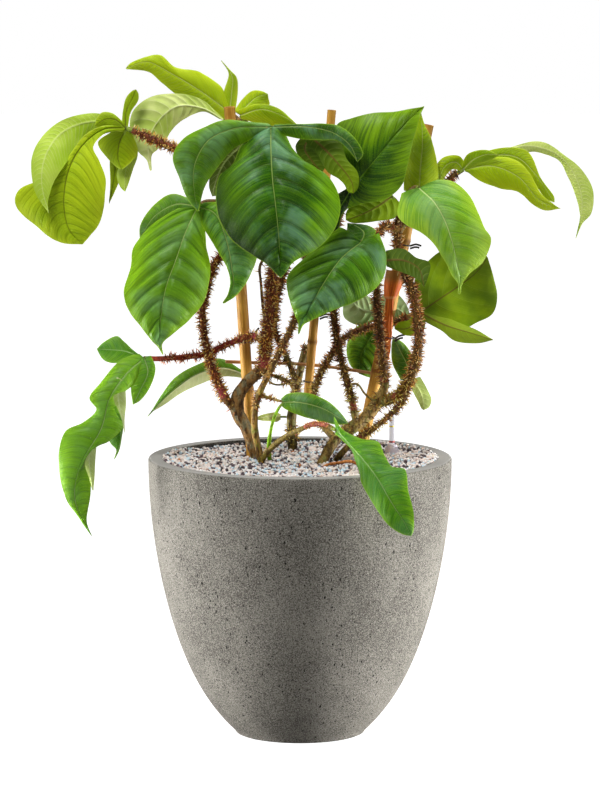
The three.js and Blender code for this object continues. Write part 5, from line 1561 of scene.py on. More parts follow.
class Green(Enum):
    """The greens that a leaf wears: its upper and its lower face."""

    DARK = (
        LeafTop(
            "leaf_dark_top", base="2f6a1e", deep="0e3800", light="3c7c10", lit="74a408",
            vein="a4c262", lit_share=0.45,
            edge="8fb52a", painted_sheen="86b898", painted_sheen_share=0.4, crease_shade_share=0.5,
        ),
        LeafUnder("leaf_dark_under", base="a4b85a", deep="8fa840", light="b4c66e", vein="d0dc94"),
    )
    DEEP = (
        LeafTop(
            "leaf_deep_top", base="2a5a08", deep="103a00", light="366a06", lit="84b008", vein="6f9a28",
            edge="8fb52a", sun_from=0.86, sun_to=0.965,
        ),
        LeafUnder("leaf_deep_under", base="8ea53a", deep="6f8a24", light="9cb255", vein="c3d080"),
    )
    MIDDLE = (
        LeafTop(
            "leaf_mid_top", base="4f8a1a", deep="2a7004", light="589614", lit="88b81c", vein="c4dc94",
            edge="8cb83a", painted_sheen_share=0.1, lit_share=0.2, vein_share=0.45,
        ),
        LeafUnder("leaf_mid_under", base="c5d688", deep="b8cc70", light="d4e0a0", vein="e4ecc0"),
    )
    RICH = (
        LeafTop(
            "leaf_rich_top", base="3f7f14", deep="1f5a04", light="54901c", lit="86b410", vein="b4ce74",
            edge="9fc02e", painted_sheen="86b488", painted_sheen_share=0.4, lit_share=0.38,
        ),
        LeafUnder("leaf_rich_under", base="a4b85a", deep="8fa840", light="b4c66e", vein="d0dc94"),
    )
    BRIGHT = (
        LeafTop(
            "leaf_bright_top", base="6ca41e", deep="3c840a", light="74ae24", lit="b0d232", vein="d0e490",
            edge="b0d040", painted_sheen="b4d8b0", painted_sheen_share=0.22, lit_share=0.4, crease_shade_share=0.5,
        ),
        LeafUnder("leaf_bright_under", base="c5d688", deep="b8cc70", light="d4e0a0", vein="e4ecc0"),
    )
    SHADED = (
        LeafTop("leaf_shaded_top", base="4f7f2a", deep="3a6e10", light="5f9430", lit="88ac30", vein="a9c47a"),
        LeafUnder("leaf_shaded_under", base="7f9c58", deep="5c8636", light="a4b880", vein="bccc9c"),
    )
    FRESH = (
        LeafTop(
            "leaf_fresh_top", base="9cbc10", deep="7aa800", light="a6c60a", lit="c4d814", vein="d4e27c",
            edge="c4dc44", specular=0.14, coat=0.03, crease_shade_share=0.2,
        ),
        LeafUnder("leaf_fresh_under", base="adc24a", deep="9cb834", light="c2d268", vein="dce49a"),
    )
    LIME = (
        LeafTop(
            "leaf_lime_top", base="a0bc0c", deep="8aac02", light="aec80e", lit="c0d420",
            vein="66661a", crease_shade_share=0.2,
            edge="c3d84a", roughness=0.5, specular=0.14, coat=0.03,
        ),
        LeafUnder("leaf_lime_under", base="a8c23c", deep="98b824", light="b4cc4c", vein="ccda84"),
    )
    OLIVE = (
        LeafTop("leaf_olive_top", base="3f7a1e", deep="2c6404", light="4f8a14", lit="7fa810",
            vein="a9c46a", edge="8fb52a"),
        LeafUnder(
            "leaf_olive_under", base="7a9000", deep="628400", light="94b400", vein="a8bc38", vein_share=0.18,
            midrib="6a4a1c", midrib_share=0.7,
        ),
    )
    PALE = (
        LeafTop("leaf_pale_top", base="5f9a2a", deep="448208", light="6fa422", lit="8fb41c",
            vein="b9d078", edge="a5c832"),
        LeafUnder("leaf_pale_under", base="c4d070", deep="a8c04c", light="d4de8c", vein="e8eeb4"),
    )


GREENS: dict[str, Green] = {
    "leaf_centre": Green.DARK,
    "leaf_left": Green.RICH,
    "leaf_middle": Green.DARK,
    "leaf_upright": Green.DEEP,
    "leaf_right": Green.BRIGHT,
    "leaf_behind_right": Green.OLIVE,
    "leaf_olive": Green.OLIVE,
    "leaf_yellow": Green.FRESH,
    "leaf_under": Green.OLIVE,
    "leaf_drooping": Green.OLIVE,
    "leaf_crown_left": Green.LIME,
    "leaf_crown_pale": Green.PALE,
    "leaf_crown_lime": Green.FRESH,
    "leaf_crown_right": Green.FRESH,
    "leaf_far_right": Green.FRESH,
    "leaf_low_left": Green.MIDDLE,
    "leaf_arching": Green.MIDDLE,
    "leaf_small": Green.RICH,
    "leaf_front": Green.MIDDLE,
    "leaf_back_low": Green.DEEP,
    "leaf_back_right": Green.RICH,
    "leaf_back_pale": Green.SHADED,
    "leaf_sliver": Green.PALE,
}

YOUNG = (Green.FRESH, Green.LIME)
FLAT = (
    "leaf_low_left",
    "leaf_front",
    "leaf_small",
    "leaf_arching",
    "leaf_upright",
    "leaf_behind_right",
    "leaf_right",
)
FLAT_LOBES = (("leaf_centre", 1), ("leaf_centre", 3), ("leaf_left", 1))

# Painted light and shade on each lobe, from -1 to 1, partly also its own paler or darker green: at its
# stalk, at its tip, and what its first and its second margin add to that.
LOBE_LIGHT_AND_SHADE: dict[str, tuple[Point, ...]] = {
    "leaf_centre": ((0.2, -0.25, -0.9, 0.3), (0.45, 0.25, 0.1, 0.0), (-1, -1, 0, 0), (0.2, 0.1, 0, 0)),
    "leaf_left": ((0.35, 0.25, 0.1, 0.2), (0.2, 0.2, 0, 0), (0.1, 0.1, 0, 0), (0, 0, 0, 0)),
    "leaf_middle": ((0.25, 0.15, 0.15, -0.1), (-0.3, -0.3, 0, 0)),
    "leaf_upright": ((-0.4, 0.8, 0.1, 0), (-1, -1, 0, 0)),
    "leaf_right": ((0.1, 0.5, 0, 0.1),),
    "leaf_behind_right": ((-0.3, 0.35, 0.05, 0.15), (0.3, 0.5, 0, 0), (0.1, 0.1, 0, 0)),
    "leaf_olive": ((-1, -1, 0, 0), (-1, -1, 0, 0), (-1, -1, 0, 0)),
    "leaf_drooping": ((-1, -0.3, 0, 0), (-0.8, -0.8, 0, 0)),
    "leaf_crown_lime": ((0.4, 0.6, 0, 0), (0.2, 0.2, 0, 0)),
    "leaf_far_right": ((0.3, 0.6, 0.1, 0.1), (0.1, 0.4, 0, 0), (0.2, 0.2, 0, 0), (-0.2, 0, 0, 0)),
    "leaf_low_left": ((0.4, 0.35, 0.05, 0.1), (0.2, 0.2, 0, 0), (0, 0, 0, 0), (0, 0, 0, 0)),
    "leaf_front": ((0, 0.15, 0, 0),),
    "leaf_arching": ((0.3, 0.3, 0, 0), (0.3, 0.3, 0, 0)),
    "leaf_crown_pale": ((-0.3, 0.3, 0, 0),),
}

LEAF_SLOTS: dict[Green, str] = {
    Green.DARK: "leaf_dark",
    Green.DEEP: "leaf_dark",
    Green.MIDDLE: "leaf_mid",
    Green.RICH: "leaf_dark",
    Green.BRIGHT: "leaf_mid",
    Green.SHADED: "leaf_underside",
    Green.FRESH: "leaf_young",
    Green.LIME: "leaf_young",
    Green.OLIVE: "leaf_underside",
    Green.PALE: "leaf_underside",
}


def tube(
    line: np.ndarray, radii: np.ndarray, sides: int, closed: bool = True
) -> tuple[np.ndarray, Faces, np.ndarray]:
    """A round tube along a line of points.

    Args:
        line: the points of its axis, in millimetres.
        radii: its radius at each point.
        sides: how many sides it has.
        closed: whether its ends are closed.

    Returns:
        Its points, its faces, and each point's share of the way round.
    """
    heading = unit(np.gradient(line, axis=0))
    across = np.zeros_like(line)
    start = np.cross(heading[0], (0.31, 0.17, 0.93))
    for i, h in enumerate(heading):
        start = unit(start - h * np.dot(start, h))
        across[i] = start
    other = np.cross(heading, across)
    share = np.arange(sides) / sides
    turn = 2 * math.pi * share
    ring = np.cos(turn)[None, :, None] * across[:, None] + np.sin(turn)[None, :, None] * other[:, None]
    points = (line[:, None] + ring * np.asarray(radii)[:, None, None]).reshape(-1, 3)
    rings = len(line)
    faces: Faces = []
    for i in range(rings - 1):
        for j in range(sides):
            a, b = i * sides + j, i * sides + (j + 1) % sides
            faces.append((a, b, b + sides, a + sides))
    if closed:
        faces.append(tuple(reversed(range(sides))))
        faces.append(tuple(range((rings - 1) * sides, rings * sides)))
    return points, faces, np.tile(share, rings)


Sheet = tuple[np.ndarray, Faces, np.ndarray, np.ndarray]


@dataclass
class Foliage:
    """Every leaf blade, quilted between its sunken veins, with its stalk's last millimetres."""

    grain: float = 2.1
    thickness: float = 0.8
    rib_bend: float = 0.1
    quilt: float = 0.12
    young_quilt: float = 0.5
    young_pitch: float = 0.6
    ahead: float = 0.45
    young_ahead: float = 0.95
    flat_quilt: float = 0.3
    flat_crease_shade: float = 0.35
    rumple: float = 0.7
    groove: float = 0.6
    lift: Point = (0, -1, 0.3)
    pitch_share: float = 0.36
    least_pitch: float = 7
    most_pitch: float = 27
    least_columns: int = 4
    most_columns: int = 48
    waviness: float = 0.035
    most_wave: float = 1.8
    stalk: Stalk = Stalk("leaf_stalk", base="8aa03c")

    def sheet(self, blade: Blade, seed: int, young: bool, flat: bool) -> Sheet:
        """The blade's middle surface.

        Args:
            blade: the lobe to make.
            seed: a number of its own, for its waves.
            young: whether the leaf is young, with finer veins and a flatter face.
            flat: whether the leaf is hardly quilted.

        Returns:
            Points, faces, and two rows of values for the veins: share across, share along and vein
            count, then reach, vein pitch and seed.
        """
        rib = Path(places(blade.rib))
        lift = unit(np.array(self.lift, float))
        stops = np.array([row[0] for row in blade.rows] + [1.0])
        mids = rib.at(stops)
        edges = []
        for side in (1, 3):
            line = []
            for row, mid in zip(blade.rows, mids):
                x, z = row[side : side + 2]
                reach = np.linalg.norm(place((x, z, mid[1])) - mid)
                line.append(place((x, z, mid[1] + blade.droop * reach)))
            edges.append(Path([*line, mids[-1]]))
        spans = len(stops) - 1
        marks = [np.array([0.0])]
        knots = np.array([e.along_spans(np.arange(spans + 1) / spans) for e in edges])
        for i in range(spans):
            far = np.linalg.norm(knots[:, i + 1] - knots[:, i], axis=1).max()
            far = max(far, np.linalg.norm(mids[i + 1] - mids[i]))
            marks.append(i + np.linspace(0, 1, max(2, math.ceil(far / self.grain)) + 1)[1:])
        w = np.concatenate(marks)[:-1]
        v = np.interp(w, np.arange(spans + 1), stops)
        middle, heading = rib.at(v), rib.heading(v)
        tip = rib.at(1.0)[0]
        points = [middle]
        reaches, phases = [], []
        widest = max(np.linalg.norm(e.along_spans(w / spans) - middle, axis=1).max() for e in edges)
        columns = int(np.clip(math.ceil(widest / self.grain), self.least_columns, self.most_columns))
        pitch = float(np.clip(self.pitch_share * widest, self.least_pitch, self.most_pitch))
        pitch *= self.young_pitch if young else 1
        u = np.arange(1, columns + 1)[None, :, None] / columns
        for k, edge in enumerate(edges):
            margin = edge.along_spans(w / spans)
            reach = np.linalg.norm(margin - middle, axis=1, keepdims=True)
            turn = (middle + margin) / 2 - heading * self.rib_bend * reach + lift * blade.bulge * 2 * reach
            grid = (1 - u) ** 2 * middle[:, None] + 2 * u * (1 - u) * turn[:, None] + u**2 * margin[:, None]
            points.append(grid.reshape(-1, 3))
            gone = np.linalg.norm(np.diff(middle, axis=0), axis=1)
            fanned = 0.5 * np.linalg.norm(np.diff(margin, axis=0), axis=1)
            along = np.concatenate([[0], np.cumsum(np.maximum(gone, fanned))])
            lead = (self.young_ahead if young else self.ahead) * u[..., 0] ** 1.5 * reach
            phase = (along[:, None] - lead) / pitch + 0.35 * k + 0.13 * seed
            reaches.append(np.repeat(reach, columns, axis=1))
            phases.append(phase)
        points = np.vstack([*points, tip[None]])
        rows = len(w)
        faces: Faces = []
        last = len(points) - 1
        for k, turn in ((0, 1), (1, -1)):
            beyond = np.arange(rows * columns).reshape(rows, columns) + rows * (1 + k * columns)
            grid = np.column_stack([np.arange(rows), beyond]).tolist()
            for low, high in zip(grid, grid[1:]):
                faces += [(low[j], low[j + 1], high[j + 1], high[j])[::turn] for j in range(columns)]
            faces += [(grid[-1][j], grid[-1][j + 1], last)[::turn] for j in range(columns)]
        flat_u = np.tile(u[0, :, 0], rows)
        across = np.concatenate([np.zeros(rows), flat_u, -flat_u, [0]])
        count = np.concatenate([phases[0][:, 0], phases[0].ravel(), phases[1].ravel(), [phases[0][-1, 0]]])
        reach = np.concatenate([reaches[0][:, 0], reaches[0].ravel(), reaches[1].ravel(), [1.0]])
        place_along = np.concatenate([v, np.repeat(v, columns), np.repeat(v, columns), [1.0]])
        normal = self.normals(points, faces)
        beside = np.abs(across)
        puff = np.abs(np.sin(math.pi * count)) ** 0.8
        puff = puff * ramp(0, 0.16, beside) * (1 - 0.85 * ramp(0.72, 1, beside))
        quilt = self.quilt * (self.young_quilt if young else self.flat_quilt if flat else 1)
        height = quilt * pitch * puff * np.minimum(1, reach / 16)
        height -= self.groove * np.exp(-((beside * reach / 1.8) ** 2)) * (1 - place_along)
        folds = np.sin(1.7 * count + seed) * np.sin(3.4 * across + 0.6 * count + 2 * seed)
        height += self.rumple * folds * np.minimum(1, reach / 24) * min(1.0, widest / 50)
        if blade.under:
            height = -height
        turns = place_along * rib.length / (6 + pitch * 0.35) + 2.1 * seed
        wave = min(self.waviness * widest, self.most_wave) * beside**4 * np.sin(turns)
        points = points + normal * (height + wave)[:, None]
        veins = np.stack([across, place_along, count], axis=1)
        span = np.stack([reach, np.full(len(points), pitch), np.full(len(points), float(seed))], axis=1)
        return points, faces, veins, span

    @staticmethod
    def normals(points: np.ndarray, faces: Sequence[tuple[int, ...]]) -> np.ndarray:
        """Each point's mean normal.

        Args:
            points: the sheet's points.
            faces: its faces, of three or four corners.

        Returns:
            One unit direction for each point.
        """
        corners = np.array([(f[0], f[1], f[2], f[-1]) for f in faces])
        a, b, c, d = (points[corners[:, k]] for k in range(4))
        face = np.cross(c - a, d - b)
        face = np.where(np.linalg.norm(face, axis=1, keepdims=True) < 1e-9, np.cross(b - a, c - a), face)
        total = np.zeros_like(points)
        for k in range(4):
            np.add.at(total, corners[:, k], face)
        return unit(total)

    def thicken(self, patch: Patch, blade: Blade, seed: int, young: bool, flat: bool, tone: Point) -> None:
        """Add a blade to the leaf as a thin closed shell.

        Args:
            patch: the leaf in the making.
            blade: the lobe to add.
            seed: a number of its own.
            young: whether the leaf is young.
            flat: whether the leaf is hardly quilted.
            tone: the lobe's painted light and shade, at its stalk, tip and two margins.
        """
        points, faces, veins, span = self.sheet(blade, seed, young, flat)
        across, along = veins[:, 0], veins[:, 1]
        # The lobe's painted light and shade, from stalk to tip and out to each margin.
        light = tone[0] + (tone[1] - tone[0]) * along
        light += np.where(across > 0, tone[2], tone[3]) * np.abs(across) ** 1.5
        normal = self.normals(points, faces)
        front, back = points + normal * self.thickness / 2, points - normal * self.thickness / 2
        used: dict[tuple[int, int], int] = {}
        for f in faces:
            for a, b in zip(f, (*f[1:], f[0])):
                used[(a, b)] = 1
        n = len(points)
        rim = [(b, a, a + n, b + n) for a, b in used if (b, a) not in used]
        near, far = (1, 0) if blade.under else (0, 1)
        shell = [*faces, *(tuple(k + n for k in reversed(f)) for f in faces), *rim]
        looks = [near] * len(faces) + [far] * len(faces) + [0] * len(rim)
        # fold scales the painted shade in the valleys beside the veins; flat lobes get less.
        patch.add(
            np.vstack([front, back]),
            shell,
            looks,
            blade=np.vstack([veins, veins]),
            span=np.vstack([span, span]),
            bristly=np.zeros(2 * n),
            tone=np.concatenate([light, light]),
            fold=np.full(2 * n, self.flat_crease_shade if flat else 1.0),
        )

    def build(self) -> None:
        """Make every leaf and let it stand for its solid."""
        stalks = {limb.leaf: limb for limbs in STEMS.values() for limb in limbs if limb.leaf}
        for number, (name, blades) in enumerate(LEAVES.items()):
            patch = Patch()
            tones = LOBE_LIGHT_AND_SHADE.get(name, ())
            for i, blade in enumerate(blades):
                tone = tones[i] if i < len(tones) else (0.0, 0.0, 0.0, 0.0)
                flat = name in FLAT or (name, i) in FLAT_LOBES
                self.thicken(patch, blade, number * 7 + i, GREENS[name] in YOUNG, flat, tone)
            limb = stalks[name]
            path = Path(places(limb.path))
            line = path.stretch(1 - STALK / path.length, 1, 1.5)
            radii = limb.radii[-1] * np.linspace(1, 0.8, len(line))
            points, faces, _ = tube(line, radii, 12)
            empty = np.zeros((len(points), 3))
            none = np.zeros(len(points))
            patch.add(points, faces, 2, blade=empty, span=empty, bristly=none, tone=none, fold=none)
            top, under = GREENS[name].value
            finishes = [top.material(), under.material(), self.stalk.material()]
            settle(patch.piece(f"{name}_blade", finishes), LEAF_SLOTS[GREENS[name]], name)


def bristle_tree() -> Tree:
    """Geometry nodes that set curved, tapered bristles on the bristly part of a stem.

    Returns:
        A tree whose inputs are the bristles' density, length, thickness, lean, seed and finish.
    """
    name = "Bristles"
    if name in bpy.data.node_groups:
        return bpy.data.node_groups[name]
    inputs = (
        ("Geometry", "Geometry", None),
        ("Density", "Float", 160000.0),
        ("Length", "Float", 0.005),
        ("Thickness", "Float", 0.00105),
        ("Lean", "Float", 0.5),
        ("Seed", "Int", 1),
        ("Finish", "Material", None),
    )
    tree, w, given, result = start_group(name, "Geometry", inputs, [("Geometry", "Geometry", None)])
    length, lean, seed = (given.outputs[label] for label in ("Length", "Lean", "Seed"))
    bristly = w.fed("GeometryNodeInputNamedAttribute", {"Name": "bristly"}, data_type="FLOAT")
    density = w.times(given.outputs["Density"], bristly.outputs["Attribute"])
    ground = {"Mesh": given.outputs["Geometry"], "Density": density, "Seed": seed}
    spread = w.fed("GeometryNodeDistributePointsOnFaces", ground, distribute_method="RANDOM")
    route = {
        "Resolution": 2,
        "Start": w.join(0.0, 0.0, -0.0006),
        "Middle": w.join(0.0, 0.0, w.times(length, 0.6)),
        "End": w.join(w.times(length, 0.35), 0.0, w.times(length, 0.93)),
    }
    bend = w.fed("GeometryNodeCurveQuadraticBezier", route)
    along = w.node("GeometryNodeSplineParameter").outputs["Factor"]
    kept = {"Name": "tip", "Geometry": bend.outputs["Curve"], "Value": along}
    tip = w.fed("GeometryNodeStoreNamedAttribute", kept, data_type="FLOAT", domain="POINT")
    taper = w.times(w.less(1.0, w.times(along, 0.85)), given.outputs["Thickness"])
    outline = w.fed("GeometryNodeCurvePrimitiveCircle", {"Resolution": 3, "Radius": 1.0}, mode="RADIUS")
    body = {
        "Curve": tip.outputs[0],
        "Scale": taper,
        "Profile Curve": outline.outputs["Curve"],
        "Fill Caps": True,
    }
    skin = w.fed("GeometryNodeCurveToMesh", body)
    back = w.times(lean, -1.0)
    range_of = {0: w.join(back, back, 0.0), 1: w.join(lean, lean, FULL_TURN), "Seed": seed}
    chance = w.fed("FunctionNodeRandomValue", range_of, data_type="FLOAT_VECTOR")
    tilt = w.fed("FunctionNodeEulerToRotation", {0: chance.outputs[0]})
    turns = {0: spread.outputs["Rotation"], 1: tilt.outputs[0]}
    turned = w.fed("FunctionNodeRotateRotation", turns, rotation_space="LOCAL")
    size = w.fed("FunctionNodeRandomValue", {2: 0.5, 3: 1.2, "Seed": 7}, data_type="FLOAT")
    inputs = {
        "Points": spread.outputs["Points"],
        "Instance": skin.outputs["Mesh"],
        "Rotation": turned.outputs[0],
        "Scale": size.outputs[1],
    }
    dress(w, crowd(w, inputs), given, result)
    return tree


def grown_piece(base: Piece, tree: Tree, name: str, finish: Material, **values: object) -> Piece:
    """Run geometry nodes on a piece and keep the result as a plain mesh.

    Args:
        base: the piece that the nodes read.
        tree: the geometry nodes.
        name: the new piece's name.
        finish: its material.
        values: the tree's inputs, by name.

    Returns:
        The new piece; the base keeps no modifier.
    """
    modifier = base.modifiers.new("grow", "NODES")
    modifier.node_group = tree
    sockets = {s.name: s.identifier for s in tree.interface.items_tree if s.in_out == "INPUT"}
    for label, value in values.items():
        modifier[sockets[label]] = value
    modifier[sockets["Finish"]] = finish
    graph = bpy.context.evaluated_depsgraph_get()
    mesh = bpy.data.meshes.new_from_object(base.evaluated_get(graph), depsgraph=graph)
    base.modifiers.remove(modifier)
    mesh.name = name
    made = bpy.data.objects.new(name, mesh)
    bpy.context.scene.collection.objects.link(made)
    return made


RED_TONES = Bristle.tones
RUST_TONES = ((0.0, "5a200a"), (0.35, "96481c"), (0.6, "cc8236"), (0.85, "e0b05e"), (1.0, "ecd094"))
OLIVE_TONES = ((0.0, "5a2808"), (0.3, "94581a"), (0.5, "cca034"), (0.75, "c0b040"), (1.0, "ecdc90"))


@dataclass(frozen=True)
class StemLook:
    """How one stem is dressed: its skin and its bristles."""

    skin: Stalk
    bristles: Bristle
    slot: str = "bristly_stem"
    density: float = 150000.0
    length: float = 0.0066
    moss: float = 0.0
    bare_below: float = 0.0


STEM_LOOKS: dict[str, StemLook] = {
    "stem_left": StemLook(
        Stalk("stem_left_skin", base="5a3418", dark="4a1c10", pale="8a4a26", bare="8c6838",
            scar="3a2410", lichen="8c9270",
              lichen_share=0.4, blush="b04c50", blush_share=0.9),
        Bristle("bristle_red", tones=RED_TONES),
        moss=0.2,
        bare_below=468.0,
    ),
    "stem_smooth": StemLook(
        Stalk("stem_smooth_skin", base="6b4a22", dark="3a2410", pale="7d5c2c", bare="a8823c",
            scar="54381a", lichen="6a8c28",
              lichen_share=0.4),
        Bristle("bristle_red", tones=RED_TONES),
        density=150000.0,
        length=0.0052,
        moss=0.6,
        bare_below=428.0,
    ),
    "stem_middle": StemLook(
        Stalk("stem_middle_skin", base="5c4a20", dark="3c200e", pale="745a26", bare="7e6c30",
            scar="2e2410", lichen="7e8450", lichen_share=0.4, blush_share=0.5),
        Bristle("bristle_rust", tones=RUST_TONES, low_tones=OLIVE_TONES),
        moss=0.5,
        bare_below=366.0,
    ),
    "stem_right": StemLook(
        Stalk("stem_right_skin", base="5e4a1e", dark="3c200e", pale="74581f", bare="94783c",
            scar="463214", lichen="8a9048",
              lichen_share=0.5, blush_share=0.5),
        Bristle("bristle_rust", tones=RUST_TONES, low_tones=OLIVE_TONES),
        moss=0.35,
        bare_below=392.0,
    ),
    "shoot_young": StemLook(
        Stalk("shoot_skin", base="7fb518", dark="6a9c14", pale="a4c83c", bare="8cc01c", scar="6e8c18"),
        Bristle("bristle_olive", tones=OLIVE_TONES),
        slot="green_shoot",
    ),
    "petiole_front": StemLook(
        Stalk("petiole_front_skin", base="7a5a2a", dark="743020", pale="b86850", bare="8c7a30",
            scar="4e3a14"),
        Bristle("bristle_red", tones=RED_TONES),
        density=60000.0,
        length=0.0024,
        moss=0.35,
    ),
    "root_orange": StemLook(
        Stalk("root_skin", base="d9823a", dark="b8622a", pale="e8a45c", bare="dc8e48", scar="8a4a20"),
        Bristle("bristle_red", tones=RED_TONES),
        slot="root",
    ),
}


@dataclass
class Stems:
    """The stems and petioles, lumpy and mottled, with their bristles."""

    step: float = 3.0
    sides: int = 14
    lump: float = 0.09
    red_petioles: tuple[str, ...] = ("leaf_low_left",)
    red_bare: float = 0.4

    def limb(self, patch: Patch, limb: Limb, seed: int, look: StemLook) -> None:
        """Add one limb to its stem.

        Args:
            patch: the stem in the making.
            limb: the limb.
            seed: a number of its own, for its lumps.
            look: how its stem is dressed.
        """
        path = Path(places(limb.path))
        end = 1 - (STALK + FIT_GAP) / path.length if limb.leaf else 1.0
        line = path.stretch(0, end, self.step)
        share = np.linspace(0, end, len(line))
        given = np.array(limb.radii, float)
        radii = np.interp(share, np.linspace(0, 1, len(given)), given)
        far = share * path.length
        swell = np.sin(far / 7.3 + seed) * 0.5 + np.sin(far / 3.1 + 2.3 * seed) * 0.3
        swell += np.sin(far / 17 + seed) * 0.4
        points, faces, _ = tube(line, radii * (1 + self.lump * swell), self.sides)
        first, last = limb.bristly or (2.0, 2.0)
        last = end + 0.05 if last > 0.94 else last
        bristly = ramp(first - 0.04, first + 0.06, share) * (1 - ramp(last - 0.04, last, share))
        old = share < last if limb.leaf else share < 2
        patchy = np.clip(0.6 + np.sin(far / 11 + seed) + 0.6 * np.sin(far / 4.7 + 2 * seed), 0, 1)
        bare = ramp(look.bare_below, look.bare_below + 15, line[:, 2])
        bristly = np.maximum(bristly, look.moss * patchy * old * bare)
        red = np.full(len(line), 0.0)
        if limb.leaf in self.red_petioles:
            red = ramp(0.1, 0.5, share)
        bristly = bristly * (1 - self.red_bare * red)
        marks = {"bristly": np.repeat(bristly, self.sides), "red": np.repeat(red, self.sides)}
        patch.add(points, faces, 0, **marks)

    def build(self) -> None:
        """Make every stem and its bristles."""
        for number, (name, limbs) in enumerate(STEMS.items()):
            look = STEM_LOOKS[name]
            patch = Patch()
            for i, limb in enumerate(limbs):
                self.limb(patch, limb, number * 11 + i, look)
            stem = patch.piece(f"{name}_skin", [look.skin.material()], crease=70)
            if any(limb.bristly for limb in limbs):
                finish = look.bristles.material()
                bristles = grown_piece(
                    stem,
                    bristle_tree(),
                    f"{name}_bristles",
                    finish,
                    Density=look.density,
                    Length=look.length,
                    Seed=number + 3,
                )
                settle(bristles, look.slot)
            settle(stem, look.slot, name)


def lathe(profile: Profile, sides: int) -> tuple[np.ndarray, Faces]:
    """Turn a profile about the upright axis.

    Args:
        profile: (radius, height) points, going up the outside and down the inside.
        sides: how many sides the round has.

    Returns:
        Points and faces; a radius of 0 closes the surface with one point.
    """
    turn = 2 * math.pi * np.arange(sides) / sides
    points: list[np.ndarray] = []
    rings: list[list[int]] = []
    for radius, height in profile:
        first = len(points)
        if radius == 0:
            points.append(np.array([0.0, 0.0, height]))
            rings.append([first] * sides)
            continue
        points += [np.array([radius * math.cos(a), radius * math.sin(a), height]) for a in turn]
        rings.append(list(range(first, first + sides)))
    faces: Faces = []
    for low, high in zip(rings, rings[1:]):
        for j in range(sides):
            k = (j + 1) % sides
            faces.append(tuple(dict.fromkeys((low[j], low[k], high[k], high[j]))))
    return np.array(points), faces


def pot_radius(height: float) -> float:
    """The pot's outer radius at a height."""
    u = 1 - height / POT_HEIGHT
    return POT_RADIUS - POT_TAPER * u**2 - POT_FOOT_CURL * u**8


def liner_radius(height: float) -> float:
    """The tub's outer radius at a height, from the same curve as the pot's.

    Args:
        height: millimetres above the ground.

    Returns:
        The radius in millimetres.
    """
    low, high = pot_radius(POT_FLOOR), pot_radius(LINER_TOP)
    share = (pot_radius(height) - low) / (high - low)
    return LINER_RADIUS_FOOT + share * (LINER_RADIUS_TOP - LINER_RADIUS_FOOT)


@dataclass
class Planter:
    """The egg-shaped pot in a concrete look and the thin tub inside it."""

    sides: int = 160
    rings: int = 48
    shoulder: float = 365.4
    tub_sides: int = 120
    tub_rings: int = 24
    finish: Concrete = Concrete("concrete", base="8b8882")
    tub_finish: Moulded = Moulded("tub_plastic", base="1d1b1a", tint="3a3735", roughness=0.55)

    def pot(self) -> None:
        """Turn the pot, with its soft rim and closed floor."""
        foot = pot_radius(4)
        outside = [(0.0, 0.0), (foot - 7, 0.0), (foot - 4, 0.3), (foot - 1.4, 1.4), (foot - 0.3, 2.8)]
        outside += [(pot_radius(z), z) for z in np.linspace(4, self.shoulder, self.rings)]
        rim = [(199.3, 366.9), (198.0, 367.8), (196.0, 368.0), (184.0, 368.0), (182.0, 367.8), (181.1, 367.0)]
        heights = np.linspace(self.shoulder, POT_FLOOR + 3, self.rings)
        inside = [(pot_radius(z) - POT_WALL, z) for z in heights]
        floor = [(pot_radius(POT_FLOOR) - POT_WALL - 3, POT_FLOOR), (0.0, POT_FLOOR)]
        points, faces = lathe([*outside, *rim, *inside, *floor], self.sides)
        patch = Patch()
        patch.add(points, faces)
        settle(patch.piece("planter_shell", [self.finish.material()]), "planter", "planter")

    def tub(self) -> None:
        """Turn the thin tub."""
        bottom = POT_FLOOR + FIT_GAP
        heights = np.linspace(bottom + 3, LINER_TOP - 0.8, self.tub_rings)
        outside = [(0.0, bottom), (liner_radius(bottom) - 2, bottom)]
        outside += [(liner_radius(z), z) for z in heights]
        rim = [(LINER_RADIUS_TOP - 0.4, LINER_TOP), (LINER_RADIUS_TOP - 2.0, LINER_TOP)]
        inside = [(liner_radius(z) - LINER_WALL, z) for z in heights[::-1]]
        floor = [(liner_radius(bottom) - LINER_WALL - 2, bottom + LINER_WALL), (0.0, bottom + LINER_WALL)]
        points, faces = lathe([*outside, *rim, *inside, *floor], self.tub_sides)
        patch = Patch()
        patch.add(points, faces)
        settle(patch.piece("tub_shell", [self.tub_finish.material()]), "tub", "liner")

    def build(self) -> None:
        """Make the pot and its tub."""
        self.pot()
        self.tub()


